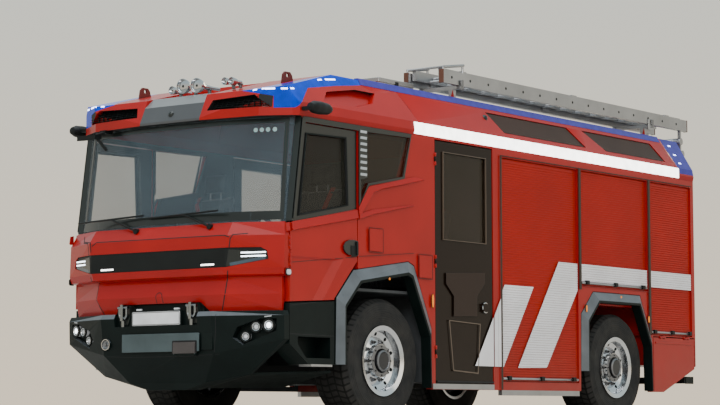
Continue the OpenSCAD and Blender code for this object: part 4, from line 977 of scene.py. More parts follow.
@dataclass(frozen=True)
class CabFront:
    """Seams, light bars and windscreen trim of the cab's face. Pairs called seen are pixels of the photograph."""

    seen_corner_seam: Line = ((248.2, 233.3), (232.8, 234.6), (230.2, 238.5), (228.9, 248))
    seen_lower_seam: Line = ((227.7, 270.5), (227.4, 279.5), (221.8, 313))
    seen_hood_seam: Line = ((92, 246.5), (96.4, 242.6), (224, 235.2), (229.2, 237))
    seen_far_seam: Line = ((84.7, 237), (84.4, 242.4), (90.4, 242.9), (91, 252.5))
    seam_wide: float = 9.0
    bar_x: Pair = (852, 1036)
    bar_heights: Pair = (1372, 1343)
    lens_line: Line = ((770, 1276), (1034, 1328))
    slot_x: Pair = (478, 618)
    slot_z: float = 1281.0
    notch_z: Pair = (990, 1040)
    notch_radius: float = 34.0
    print_half: float = 1080.0
    print_rows: Line = ((1640, 1712), (2440, 2478))
    print_side: Line = ((1082, 1640), (1062, 2476))
    sensor_x: tuple[float, ...] = (815, 866, 917, 972)
    sensor_z: float = 2385.0
    sensor_radius: float = 0.019
    marker: Line = ((-1372, 1190), (-1322, 1232))

    def build(self) -> None:
        """Builds the cab's face."""
        panel = Skin("cab_front_panel", "headlamp_band", "headlamps")
        self._seams(panel)
        self._lamps(panel)
        self._windscreen()
        self._markers()

    def _seams(self, panel: Skin) -> None:
        """Panel gaps of the front and the notch of its latch."""
        seams, mirrored = Shape(), Shape()
        for line in (self.seen_corner_seam, self.seen_lower_seam, self.seen_hood_seam, self.seen_far_seam):
            seams.ribbon(panel.trail(panel.seen, line, 24), self.seam_wide, 0.9)
        for line in (self.seen_corner_seam, self.seen_lower_seam):
            mirrored.ribbon(panel.trail(panel.seen, line, 24), self.seam_wide, 0.9)
        build("front_seams", seams, Finish.SEAL, FLAT)
        build("front_seams_far", mirrored.mirrored(), Finish.SEAL, FLAT)
        r, (foot, middle) = self.notch_radius, self.notch_z
        arc = [(r * math.cos(a), middle + r * math.sin(a)) for a in (math.pi * k / 10 for k in range(11))]
        notch = Shape().ribbon(panel.trail(panel.front, [(r, foot), *arc, (-r, foot)], 2), self.seam_wide, 0.8)
        build("latch_notch", notch, Finish.DEEP_RED, FLAT)

    def _lamps(self, panel: Skin) -> None:
        """Two white light bars and a lens in each headlamp, and the slots of the band."""
        bars, lens, slots, rims = Shape(), Shape(), Shape(), Shape()
        (bar_in, bar_out), (slot_in, slot_out), z = self.bar_x, self.slot_x, self.slot_z
        for height in self.bar_heights:
            bars.ribbon(panel.trail(panel.front, [(bar_in, height - 3), (bar_out, height)], 14), 11, 2.5)
        lens.ribbon(panel.trail(panel.front, self.lens_line, 14), 26, 1)
        slots.ribbon(panel.trail(panel.front, [(slot_in, z), (slot_out, z)], 6), 13, 3)
        rims.ribbon(panel.trail(panel.front, [(slot_in - 8, z), (slot_out + 8, z)], 6), 25, 1)
        build_both("headlamp_bars", bars, Finish.LED, Edge(0.002))
        build_both("headlamp_lens", lens, Finish.LENS_BLUE, Edge(0.001))
        build_both("band_slots", slots, Finish.WHITE_LIGHT, Edge(0.002))
        build_both("band_slot_rims", rims, Finish.BLACK, Edge(0.001))

    def _windscreen(self) -> None:
        """Black print round the windscreen and four round sensors under its top edge."""
        glass = Skin("windscreen")
        border, dots = Shape(), Shape()
        across = [-self.print_half + 2 * self.print_half * k / 40 for k in range(41)]
        for low, high in self.print_rows:
            section = ((low, 0.6), (high, 0.6), (high, 0.1), (low, 0.1))
            border.rings([[lifted(glass.front(x, z), lift) for z, lift in section] for x in across])
        build("windscreen_print", border, Finish.GLOSS_BLACK)
        for name, sign in (("near", 1), ("far", -1)):
            line = [(sign * x, z) for x, z in self.print_side]
            edge = Shape().ribbon(glass.trail(glass.front, line, 12), 34, 0.7, 0.2)
            build(f"windscreen_print_{name}", edge, Finish.GLOSS_BLACK)
        r = self.sensor_radius
        for x in self.sensor_x:
            profile = [(0.0005, 0.0012), (r, 0.001), (r, -0.001), (0.0005, -0.001)]
            dots.lathe(profile, facing(glass.front(x, self.sensor_z)), 24)
        build("windscreen_sensors", dots, Finish.SENSOR)

    def _markers(self) -> None:
        """White side marker beside each front door."""
        (y0, z0), (y1, z1) = self.marker
        lens = Shape().on_side(rounded(*self.marker, 14), 2, 12)
        base = Shape().on_side(rounded((y0 - 8, z0 - 8), (y1 + 8, z1 + 8), 18), 4, 3)
        build_both("side_marker", lens, Finish.CLEAR_LENS, Edge(0.005, 3))
        build_both("side_marker_base", base, Finish.BLACK, Edge(0.0015))


@dataclass(frozen=True)
class Greenhouse:
    """The black zone round the side windows, its louvre plate and the shoulder moulding below it."""

    thick: float = 1.6
    door_top: float = 2435.0
    head_z: float = 2486.0
    pillar: Line = ((-1282, 1648), (-1159, 2484), (-1122, 2484), (-1122, 2440), (-1246, 1648))
    window: Line = ((-366, 2440), (348, 2452), (238, 2106), (-264, 2010), (-366, 1845))
    surround: Line = ((-393, 2486), (372, 2486), (262, 2088), (-252, 1990), (-393, 1812))
    dashes: int = 8
    dash_y: Pair = (-376, -286)
    dash_z: Pair = (2078, 2438)
    door_belt_upper: Line = ((-1296, 1619), (-409, 1776))
    door_belt_lower: Line = ((-1296, 1551), (-409, 1706))
    quarter_upper: Line = ((-400, 1790), (-252, 1984), (252, 2086), (420, 2118))
    quarter_lower: Line = ((-392, 1712), (-192, 1938), (-70, 1980), (560, 2106))
    crease_upper: Line = ((-392, 1742), (-190, 1792), (405, 1876))
    crease_lower: Line = ((-392, 1700), (-190, 1756), (400, 1870))
    corner_upper: Line = ((-1374, 1604), (-1330, 1612))
    corner_lower: Line = ((-1374, 1540), (-1330, 1546))
    header_y: Pair = (-1122, -393)
    louvre: Line = ((-384, 2030), (-384, 2462), (-276, 2462), (-276, 2052))

    def build(self) -> None:
        """Builds the black zone and the mouldings."""
        # Painted reflection: the flares' slanted outward bevels get the lighter slate.
        tint("wheel_flares", Finish.SHEEN_SLATE, lambda p, n: 0.75 < abs(n.x) < 0.97)
        tint("fixed_glass", Finish.ROOF_GLASS, lambda p, n: p.y > 500)
        for side in sided("cab_side"):
            tint(side, Finish.LINING, lambda p, n: abs(p.x) < HALF_W - SHEET)
            tint(side, Finish.GLOSS_BLACK, lambda p, n: p.z > 1622 and p.y < -1130)
        zone = Shape().frame_x(self.surround, self.window, HALF_W - 6, HALF_W + self.thick)
        zone.on_side(self.pillar, 2, self.thick)
        (y0, y1), top, foot = self.header_y, self.head_z, self.door_top + 6
        zone.on_side([(y0, foot), (y0, top), (y1, top), (y1, foot)], 2, self.thick)
        build_both("window_zone", zone, Finish.GLOSS_BLACK, Edge(0.0008))
        build_both("louvre_plate", Shape().on_side(self.louvre, 8, 0.9), Finish.GLOSS_BLACK, Edge(0.002))
        dashes = Shape()
        (y0, y1), (z0, z1) = self.dash_y, self.dash_z
        pitch = (z1 - z0) / (self.dashes - 1)
        for z in (z0 + k * pitch for k in range(self.dashes)):
            dashes.on_side([(y0, z - 11), (y1, z - 11), (y1 + 4, z + 11), (y0 + 4, z + 11)], 0, 3.2)
        build_both("louvre_dashes", dashes, Finish.PALE_TRIM, Edge(0.002))
        belt = Shape().strake(self.door_belt_upper, self.door_belt_lower, HALF_W - 8.5, HALF_W - 4, HALF_W + 9)
        build_both("door_shoulder", belt, Finish.RED, Edge(0.0015), sided("front_door"))
        for name, upper, lower, (back, top, foot), wide in (
            ("quarter_shoulder", self.quarter_upper, self.quarter_lower, (-3, 1.5, 10), 0.0015),
            ("quarter_crease", self.crease_upper, self.crease_lower, (-3, 0.8, 7), 0.001),
            ("corner_shoulder", self.corner_upper, self.corner_lower, (-6, -3, 9), 0.0015),
        ):
            moulding = Shape().strake(upper, lower, HALF_W + back, HALF_W + top, HALF_W + foot)
            build_both(name, moulding, Finish.RED, Edge(wide))


@dataclass(frozen=True)
class FrontDoors:
    """Black window frames, seals and handles of the front doors, and a painted shadow line along their crease."""

    belt: Line = ((-1306, 1612), (-405, 1782))
    glass: Line = ((-1196, 1672), (-1102, 2358), (-558, 2372), (-532, 1800))
    seal: Line = ((-1180, 1688), (-1090, 2346), (-570, 2359), (-545, 1806))
    handle: Line = (
        (-419, 1388), (-419, 1514), (-470, 1519), (-540, 1515), (-590, 1494),
        (-612, 1464), (-612, 1436), (-590, 1408), (-540, 1390),
    )
    grip: Line = ((-452, 1392), (-428, 1508))
    crease: Line = ((-1296, 1292), (-640, 1358), (-412, 1382))
    card: Line = ((-1270, 1010), (-1270, 1590), (-440, 1742), (-440, 1350), (-700, 1050))
    armrest: Line = ((-1000, 1330), (-560, 1390))

    def build(self) -> None:
        """Builds both doors' trim."""
        doors = sided("front_door")
        for door in doors:
            tint(door, Finish.GLOSS_BLACK, lambda p, n: p.z > self._belt_z(p.y) and abs(p.x) > HALF_W - 60)
            tint(door, Finish.BLACK, lambda p, n: abs(p.x) > HALF_W + 2 and p.z > 1300 and p.y > -700)
            tint(door, Finish.LINING, lambda p, n: abs(p.x) < HALF_W - SHEET)
        seal = Shape().frame_x(self.glass, self.seal, HALF_W - 26, HALF_W - 9)
        build_both("door_seal", seal, Finish.SEAL, Edge(0.003), doors)
        inner = [(y + (9 if y < -800 else -9), z + (8 if z < 2000 else -8)) for y, z in self.glass]
        light_edge = Shape().frame_x(self.glass, inner, HALF_W - 9, HALF_W - 6.2)
        build_both("door_window_edge", light_edge, Finish.SLATE, Edge(0.001), doors)
        build_both("door_handle_cup", Shape().on_side(self.handle, 3, 7), Finish.GLOSS_BLACK, Edge(0.004, 3), doors)
        grip = Shape().on_side(rounded(*self.grip, 9), -4, 21)
        build_both("door_handle_grip", grip, Finish.BLACK, Edge(0.004, 3), doors)
        skin = Skin("front_door_left")
        # Painted shadow: a dark red line along the door's crease.
        crease = Shape().ribbon(skin.trail(skin.side, self.crease, 10), 7, 0.5)
        build_both("door_crease", crease, Finish.DEEP_RED, bodies=doors)
        card = Shape().on_side(self.card, 74, -61)
        card.on_side(rounded(*self.armrest, 20), 110, -72)
        build_both("door_card", card, Finish.LINING, Edge(0.006, 3), doors)

    def _belt_z(self, y: float) -> float:
        """Height of the line above which a door is black."""
        (y0, z0), (y1, z1) = self.belt
        return z0 + 4 + (y - y0) * (z1 - z0) / (y1 - y0)


@dataclass(frozen=True)
class SidePanels:
    """Panel outlines, markers and the painted shadow line of the crease on the red sides behind the front doors."""

    outlines: tuple[Line, ...] = (((-256, 1430), (-48, 1640)), ((470, 1240), (685, 1456)))
    crease: Line = ((-398, 1383), (-398, 1389), (398, 1458), (398, 1452))
    seen_eye: Pair = (485, 117.5)
    eye: Line = ((0.0005, 0.02), (0.02, 0.014), (0.031, 0), (0.037, -0.001), (0.0005, -0.002))
    ambers: tuple[tuple[float, float, float, float], ...] = (
        (678, 1055, 13, 58), (3280, 1081, 12, 34), (4494, 1015, 12, 34),
    )
    flare_spots: Line = ((-18, 1214), (WHEELBASE - 18, 1214))
    step_lines: tuple[Line, ...] = (((-1300, 947), (-722, 1010)), ((-1300, 720), (-714, 714)))
    roof_line: Line = ((414, 2800), (486, 2632))

    def build(self) -> None:
        """Builds the trim of both sides."""
        seams, hatches = Shape(), Shape()
        for (y0, z0), (y1, z1) in self.outlines:
            outer, inner = rounded((y0, z0), (y1, z1), 12, 3), rounded((y0 + 5, z0 + 5), (y1 - 5, z1 - 5), 9, 3)
            seams.frame_x(outer, inner, HALF_W - 1.5, HALF_W + 0.5)
            hatches.on_side(rounded((y0 + 12, z0 + 12), (y1 - 12, z1 - 12), 8, 3), 1, 1.6)
        # Painted shadow: the crease line that carries the door's crease along the side.
        seams.on_side(self.crease, 1, 0.6)
        build_both("side_outlines", seams, Finish.DEEP_RED)
        build_both("side_hatches", hatches, Finish.RED, Edge(0.0015))
        self._ambers()
        step, roof, seams = Skin("entry_steps"), Skin("body_roof"), Shape()
        for line in self.step_lines:
            seams.ribbon(step.trail(step.side, line, 10), 6, 0.5)
        build_both("step_seams", seams, Finish.SEAL)
        seam = Shape().ribbon(roof.trail(roof.side, self.roof_line, 8), 5, 0.5)
        build_both("roof_seams", seam, Finish.DEEP_RED)
        eye = Shape().lathe(self.eye, facing(roof.seen(*self.seen_eye)), 24)
        build_both("roof_eyes", eye, Finish.GLOSS_BLACK)

    def _ambers(self) -> None:
        """Amber side markers with their rims, and the round ones of the flares."""
        lens, rims, spots = Shape(), Shape(), Shape()
        for y, z, wide, high in self.ambers:
            lens.on_side(oval(y, z, wide, high, 20), 1, 9)
            rims.on_side(oval(y, z, wide + 6, high + 6, 20), 1, 3)
        build_both("side_ambers", lens, Finish.AMBER, Edge(0.004, 3))
        build_both("side_amber_rims", rims, Finish.BLACK, Edge(0.001))
        for y, z in self.flare_spots:
            spots.on_side(oval(y, z, 11, 11, 16), -38, 45)
        build_both("flare_ambers", spots, Finish.AMBER, Edge(0.003))


@dataclass(frozen=True)
class CrewDoors:
    """Smoked crew doors with their window line, raised panel and round handle."""

    face: float = 4.0
    window: Line = ((858, 1600), (858, 2380), (1545, 2380), (1545, 1600))
    window_inner: Line = ((864, 1606), (864, 2374), (1539, 2374), (1539, 1606))
    panel: Line = (
        (894, 1311), (1516, 1341), (1514, 1243), (1386, 1126), (1384, 944), (1012, 932), (1014, 1111), (894, 1215),
    )
    foot: Line = ((937, 899), (1000, 452), (1400, 430), (1440, 880))
    foot_inner: Line = ((951, 890), (1010, 463), (1390, 442), (1427, 871))
    sill: Line = ((752, 350), (752, 366), (1651, 366), (1651, 350))
    handle: Pair = (1515, 1025)
    cup: Line = ((0.0005, -0.001), (0.0005, 0.002), (0.03, 0.0025), (0.043, 0.006), (0.046, -0.001))

    def build(self) -> None:
        """Builds both doors' trim."""
        x, doors = HALF_W - self.face, sided("crew_door")
        for door in doors:
            tint(door, Finish.LINING, lambda p, n: abs(p.x) < HALF_W - SHEET)
        line = Shape().frame_x(self.window, self.window_inner, x - 12, x + 1.4)
        build_both("crew_window_line", line, Finish.PALE_BRONZE, Edge(0.0008), doors)
        # Painted reflection: the raised panel is a lighter bronze than the door around it.
        raised = Shape().prism_x(self.panel, x - 1, x + 2.5)
        build_both("crew_door_panel", raised, Finish.BRONZE_LIGHT, Edge(0.0022), doors)
        low = Shape().frame_x(self.foot, self.foot_inner, x - 1, x + 1.2)
        build_both("crew_door_foot_line", low, Finish.PALE_BRONZE, bodies=doors)
        place = turned(x, *self.handle, math.pi / 2, "Y")
        ring = Shape().lathe(shifted(ring_of(0.007, 10), 0.043, 0.004), place, 40)
        build_both("crew_handle_ring", ring, Finish.CHROME, bodies=doors)
        build_both("crew_handle_cup", Shape().lathe(self.cup, place, 40), Finish.GLOSS_BLACK, bodies=doors)
        build_both("crew_door_sill_seal", Shape().prism_x(self.sill, x - 1, x + 2), Finish.SEAL, bodies=doors)


@dataclass(frozen=True)
class Livery:
    """Reflective white film on the sides, cut to follow every slat of the shutters."""

    stripes: tuple[Line, ...] = (
        ((1861, 1249), (2358, 1252), (1834, 501), (1350, 503)),
        ((2807, 1508), (3155, 1507), (3150, 1257), (2574, 503), (2078, 496)),
        ((3192, 1345), (3192, 1509), (5436, 1509), (5436, 1345)),
    )
    curtains: tuple[Point, ...] = ((1803, 3147, 369), (3208, 4502, 1304), (4563, 5427, 866))
    pillars: Line = ((1663, 1724), (1728, 1772))
    door_end: float = 1652.0
    slat: float = 22.5
    face: float = 16.0
    thick: float = 0.7

    def build(self) -> None:
        """Cuts and lays the film."""
        film, solid = Shape(), Shape()
        for stripe in self.stripes:
            for y0, y1, foot in self.curtains:
                part = between(stripe, 0, y0 + 1, y1 - 1)
                if len(part) >= 3:
                    self._on_slats(film, part, foot)
        build_both("curtain_film", film, Finish.WHITE_FILM, FLAT)
        for low, high in self.pillars:
            part = between(self.stripes[0], 0, low, high)
            if len(part) >= 3:
                solid.on_side(part, 1, self.thick)
        build_both("pillar_film", solid, Finish.WHITE_FILM, FLAT)
        door = Shape().prism_x(clipped(self.stripes[0], 0, self.door_end, False), HALF_W - 5, HALF_W - 4 + self.thick)
        build_both("door_film", door, Finish.WHITE_FILM, FLAT, sided("crew_door"))

    def _on_slats(self, film: Shape, part: Sequence[Pair], foot: float) -> None:
        """Lays film on the flat of every slat that a stripe crosses."""
        lowest, highest = min(z for _, z in part), max(z for _, z in part)
        first = max(0, int((lowest - foot - 4) / self.slat) - 1)
        for k in range(first, int((highest - foot) / self.slat) + 1):
            z0, z1 = foot + 4 + k * self.slat + 3.2, foot + 4 + (k + 1) * self.slat - 4.2
            for low, high in ((z0 - 2.6, z0), (z0, z1), (z1, z1 + 3.4)):
                strip = between(part, 1, low, high)
                if len(strip) >= 3:
                    outs = [self._face(z, z0, z1) for _, z in strip]
                    film.rings([[at(x + up, *p) for x, p in zip(outs, strip)] for up in (-1, self.thick)])

    def _face(self, z: float, z0: float, z1: float) -> float:
        """How far out the slat's surface lies at a height, with its edges falling off into the grooves."""
        return HALF_W - self.face - max(0, z0 - z, z - z1) * 1.1


@dataclass(frozen=True)
class ShutterTrim:
    """Guide rails, lift bars' latches and edge lines of the roller shutters."""

    rails: tuple[Point, ...] = ((1775, 1798, 294), (3156, 3199, 1262), (4511, 4554, 868))
    top: float = 2411.0
    header: Pair = (1775, 5440)
    bars: tuple[Point, ...] = ((1799, 1352, 369), (3204, 1302, 1304), (4559, 872, 866))
    latch_shares: tuple[float, ...] = (0.08, 0.5, 0.92)
    arch_seam: Line = ((3206, 1290), (3206, 1293), (4502, 1293), (4502, 1290))

    def build(self) -> None:
        """Builds the trim on both sides."""
        rails, lips, latches = Shape(), Shape(), Shape()
        top = self.top + 12
        for y0, y1, low in self.rails:
            rails.on_side([(y0, low), (y0, top), (y1, top), (y1, low)], 1, 2)
            middle = (y0 + y1) / 2
            lips.on_side([(middle - 2, low), (middle - 2, top), (middle + 2, top), (middle + 2, low)], -1, 3)
        y0, y1 = self.header
        rails.on_side([(y0, top), (y0, top + 10), (y1, top + 10), (y1, top)], 1, 1.6)
        build_both("shutter_rails", rails, Finish.BRONZE_LIGHT, Edge(0.001))
        build_both("shutter_rail_lips", lips, Finish.PALE_BRONZE)
        for start, wide, foot in self.bars:
            for y in (start + wide * share for share in self.latch_shares):
                latches.on_side(rounded((y - 26, foot + 10), (y + 26, foot + 50), 8, 3), 15, 12)
        build_both("lift_bar_latches", latches, Finish.BLACK, Edge(0.003))
        build_both("arch_panel_seam", Shape().on_side(self.arch_seam, 1, 0.5), Finish.DEEP_RED)


@dataclass(frozen=True)
class Bumper:
    """Lamp bezels, winch cover, horn, bare plate and pockets of the front bumper."""

    lamp_centre: Pair = (935, 745)
    lamp_turn: float = 14.0
    lamp_spots: tuple[tuple[float, float, float], ...] = ((121, 42, 46), (9, 31, 40), (-82, -45, 38))
    cover_x: Pair = (-366, 471)
    cover_z: Pair = (587, 736)
    hook_x: Pair = (204, 437)
    horn: Point = (-556, -1592, 657)
    horn_radius: float = 0.048
    plate_half: float = 260.0
    plate_z: Pair = (806, 918)
    plate_y: float = -1592.0
    plate_lamps: Pair = (-196, 214)
    seen_mark: Line = ((264.5, 316.6), (271.5, 315.8))
    pocket: Line = (
        (300, 968), (318, 978), (432, 978), (446, 966),
        (452, 880), (424, 812), (330, 812), (300, 880),
    )
    pocket_y: Pair = (-1562, -1512)
    pocket_middle: Pair = (376, 895)
    corner_seam: Line = ((640, 880), (628, 740), (600, 560))
    foot_seam: Line = ((-640, 560), (-300, 548), (300, 548), (640, 560))
    side_cover: Line = ((486, 596), (600, 728))

    def build(self) -> None:
        """Builds the bumper's trim."""
        (x0, x1), (z0, z1) = self.cover_x, self.cover_z
        # Painted reflection: the bumper's up-facing faces get the lighter slate.
        tint("front_bumper", Finish.SHEEN_SLATE, lambda p, n: n.z > 0.35)
        tint("front_bumper", Finish.WINCH_GREY, lambda p, n: p.y < -1598.5 and x0 < p.x < x1 and z0 < p.z < z1)
        cover = Shape().prism_y(rounded((x0, z0), (x1, z1), 4), -1602.5, -1597)
        build("winch_cover", cover, Finish.WINCH_GREY, Edge(0.002))
        (x0, x1), low, high = self.hook_x, z0 - 18, z0 + 74
        # Painted shadow: a near-black plate showing round the top and sides of the hook box.
        gap = Shape().prism_y(rounded((x0 - 18, low), (x1 + 12, high + 14), 8), -1604.5, -1601)
        build("winch_hook_gap", gap, Finish.SEAL)
        box = Shape().prism_y(rounded((x0, low), (x1, high), 8), -1618, -1603)
        build("winch_hook_box", box, Finish.HOOK_GREY, Edge(0.003))
        skin = Skin("front_bumper")
        mark = Shape().ribbon(skin.trail(skin.seen, self.seen_mark, 3), 9, 2)
        build_both("bumper_marks", mark, Finish.PALE_TRIM, Edge(0.001))
        self._lamps()
        self._plate()
        self._horn()
        self._pockets(skin)

    def _lamps(self) -> None:
        """Chrome and black rings round the six lamps, with a reflector in each."""
        skin = Skin("bumper_lamps")
        black, chrome, glow, dim, inner = Shape(), Shape(), Shape(), Shape(), Shape()
        for sx, sz, radius in self.lamp_spots:
            x = self.lamp_centre[0] + sx * math.cos(math.radians(self.lamp_turn))
            place, r = facing(skin.front(x, self.lamp_centre[1] + sz)), radius / 1000
            black.lathe([(r * 0.84, 0), (r * 0.86, 0.006), (r * 1.16, 0.009), (r * 1.2, -0.004)], place, 40)
            chrome.lathe([(r * 0.66, 0.001), (r * 0.74, 0.007), (r * 0.84, 0.008), (r * 0.85, -0.001)], place, 40)
            lit, wide = (glow, 0.5) if sx > 100 else (dim, 0.42)
            lit.lathe([(0.0005, 0.005), (r * wide, 0.003), (r * wide, -0.001), (0.0005, -0.001)], place, 32)
            inner.lathe([(r * 0.46, 0), (r * 0.48, 0.004), (r * 0.58, 0.004), (r * 0.6, 0)], place, 32)
        for name, shape, finish in (
            ("rims", black, Finish.BLACK), ("rings", chrome, Finish.CHROME), ("lights", glow, Finish.LED),
            ("side_lights", dim, Finish.CLEAR_LENS), ("inner_rings", inner, Finish.STEEL),
        ):
            build_both(f"bumper_lamp_{name}", shape, finish)

    def _plate(self) -> None:
        """Bare plate in its black holder, with the two lamps over it."""
        (low, high), half, y = self.plate_z, self.plate_half, self.plate_y
        plate = Shape().prism_y(rounded((-half, low), (half, high), 10), y - 3, y + 1)
        build("bare_plate", plate, Finish.PLATE, Edge(0.001))
        holder = Shape().prism_y(rounded((-half - 9, low - 9), (half + 9, high + 7), 12), y - 0.8, y + 2)
        build("plate_holder", holder, Finish.BLACK, Edge(0.001))
        outer = rounded((-half + 3, low + 3), (half - 3, high - 3), 8)
        inner = rounded((-half + 9, low + 9), (half - 9, high - 9), 6)
        build("plate_rim", Shape().frame_y(outer, inner, y - 3.8, y - 2), Finish.STEEL)
        lamps = Shape()
        for x in self.plate_lamps:
            lamps.prism_y(rounded((x - 26, high + 12), (x + 26, high + 26), 6), y + 4, y + 26)
        build("plate_lamps", lamps, Finish.CLEAR_LENS, Edge(0.003))

    def _horn(self) -> None:
        """Round horn beside the winch cover."""
        r, place = self.horn_radius, turned(*self.horn, math.pi / 2, "X")
        ring = Shape().lathe([(r * 0.8, -0.002), (r * 0.84, 0.006), (r * 0.96, 0.006), (r, -0.002)], place, 40)
        bowl = [(r * 0.2, 0.004), (r * 0.3, -0.012), (r * 0.7, -0.006), (r * 0.8, 0.001), (r * 0.8, -0.02)]
        build("bumper_horn_ring", ring, Finish.CHROME)
        build("bumper_horn_dish", Shape().lathe([(0.0005, 0), (0.0005, 0.004), *bowl], place, 40), Finish.STEEL)

    def _pockets(self, skin: Skin) -> None:
        """Dark six-sided pockets behind the shackles and the seams of the bumper."""
        (y, back), (mx, mz) = self.pocket_y, self.pocket_middle
        small = [(mx + (x - mx) * 0.9, mz + (z - mz) * 0.93) for x, z in self.pocket]
        pocket = Shape().prism_y(clipped(self.pocket, 1, 904, False), y - 2, y + 6)
        pocket.prism_y(clipped(self.pocket, 1, 906, True), back, back + 12)
        build_both("shackle_pocket", pocket, Finish.GLOSS_BLACK, Edge(0.001))
        lip = Shape().frame_y(self.pocket, small, y - 5, y)
        build_both("shackle_pocket_lip", lip, Finish.SLATE, Edge(0.0015))
        seams = Shape()
        for line, wide in ((self.corner_seam, 5), (self.foot_seam, 4)):
            seams.ribbon(skin.trail(skin.front, line, 10), wide, 0.4)
        build("bumper_seams", seams, Finish.SEAL, FLAT)
        cover = Shape().prism_y(rounded(*self.side_cover, 8), -1590, -1560)
        build("bumper_side_cover", cover, Finish.SLATE, Edge(0.004))


@dataclass(frozen=True)
class RoofFront:
    """Grey visor, mouths, lamp bars and horns of the cab roof. Pairs called seen are pixels of the photograph."""

    visor_half: float = 331.0
    visor_split: float = 2615.0
    seen_dome: Pair = (171.2, 114.2)
    seen_bars: tuple[Line, ...] = (
        ((253, 90.2), (257, 89.4)), ((262, 88.7), (275, 88.3)), ((281, 88.4), (294, 88.3)),
        ((317.5, 79.9), (321.5, 79.6)), ((325, 79.4), (335, 79.5)),
    )
    dome: Line = (
        (0.0005, 0.022), (0.014, 0.019), (0.024, 0.009), (0.028, 0), (0.034, -0.002), (0.0005, -0.002),
    )
    mouth: Line = ((391, 2571), (420, 2649), (853, 2662), (980, 2564))
    fins: int = 5
    posts: int = 9
    horns: tuple[tuple[float, float, float, float], ...] = (
        (-40, 2829, 64, 330), (112, 2822, 64, 300), (-205, 2814, 36, 250), (375, 2842, 32, 140), (449, 2838, 32, 130),
    )
    horn_y: float = -1235.0
    trough_half: float = 328.0
    trough_z: float = 2754.8
    pod_z: float = 2790.5

    def build(self) -> None:
        """Builds the roof front's trim."""
        roof, half, split = Skin("cab_roof"), self.visor_half, self.visor_split
        for finish, chosen in (
            (Finish.VISOR_DARK, lambda p, n: abs(p.x) < half and n.y < -0.8 and p.z < split and p.y < -1300),
            (Finish.VISOR_GREY, lambda p, n: abs(p.x) < half and n.y < -0.05 and p.z > split and p.y < -1000),
            # Painted shade: the roof's down-facing faces and the walls of its mouths are made near-black.
            (Finish.SEAL, lambda p, n: n.z < -0.9),
            (Finish.SEAL, self._in_mouth),
            (Finish.EYE_RED, lambda p, n: 780 < abs(p.x) < 804 and -950 < p.y < -780 and p.z > 2800),
        ):
            tint("cab_roof", finish, chosen)
        build("visor_dome", Shape().lathe(self.dome, facing(roof.seen(*self.seen_dome)), 32), Finish.GLOSS_BLACK)
        self._mouths(roof)
        self._bars()
        self._horns()

    @staticmethod
    def _in_mouth(p: Vector, n: Vector) -> bool:
        """Whether a face of the roof is a wall of one of its two mouths, which is painted near-black as shade."""
        inward = abs(n.z) > 0.995 or abs(n.x) > 0.85 or -0.88 < n.y < -0.84
        return 384 < abs(p.x) < 1000 and 2555 < p.z < 2672 and inward

    def _mouths(self, roof: Skin) -> None:
        """Near-black floor of the two mouths beside the visor, as painted shade, and their black fins."""
        floor, fins = Shape().tile([roof.front(*p) for p in self.mouth], 2, 0.5), Shape()
        for k in range(self.fins):
            line = [(400 + k * 6, 2580 + k * 17), (972 - k * 26, 2580 + k * 17)]
            fins.ribbon(roof.trail(roof.front, line, 10), 3, 22, 0)
        for x in (440 + k * 56 for k in range(self.posts)):
            fins.ribbon(roof.trail(roof.front, [(x, 2574), (x, 2648)], 4), 3, 16, 0)
        build_both("mouth_floor", floor, Finish.SEAL, FLAT)
        build_both("mouth_fins", fins, Finish.BLACK, FLAT)

    def _bars(self) -> None:
        """Lit bars behind the blue corner lenses."""
        lens = Skin("corner_beacons")
        bars = Shape()
        for line in self.seen_bars:
            bars.ribbon(lens.trail(lens.seen, line, 4), 14, 1.6, 1)
        build_both("beacon_bars", bars, Finish.BLUE_LED, Edge(0.003))

    def _horns(self) -> None:
        """Hollow trumpet horns on their bases, in place of the solid ones."""
        bells, throats, base = Shape(), Shape(), Shape()
        for x, z, radius, length in self.horns:
            r, deep = radius / 1000, length / 1000
            place = turned(x, self.horn_y if radius > 50 else self.horn_y + 55, z, math.pi / 2, "X")
            outer = [(r, -0.006), (r * 0.99, -0.014), (r * 0.93, -0.034), (r * 0.8, -0.056), (r * 0.6, -0.078)]
            stem = [(r * 0.4, -0.1), (0.0155, -deep * 0.7), (0.0155, -deep), (0.0006, -deep), (0.0006, -0.012)]
            inner = [(r * 0.3, -0.012), (r * 0.55, -0.014), (r * 0.78, -0.018), (r * 0.86, -0.012), (r * 0.93, 0)]
            bells.lathe([*outer, *stem, *inner, (r, -0.001)], place, 40)
            throats.lathe([(0.0005, -0.013), (0.0005, -0.004), (r * 0.12, -0.006), (r * 0.2, -0.013)], place, 24)
            low = self.trough_z if abs(x) < self.trough_half else self.pod_z
            base.block((x - 12, -1070, low), (x + 12, -1045, z))
            base.block((x - 20, -1074, z - 22), (x + 20, -1041, z - 8))
        base.block((-245, -1080, self.trough_z), (152, -1040, self.trough_z + 18))
        horns = build("trumpet_horns", bells, Finish.CHROME)
        build("horn_throats", throats, Finish.GLOSS_BLACK)
        build("horn_brackets", base, Finish.STEEL, Edge(0.003))
        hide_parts("roof_horns")


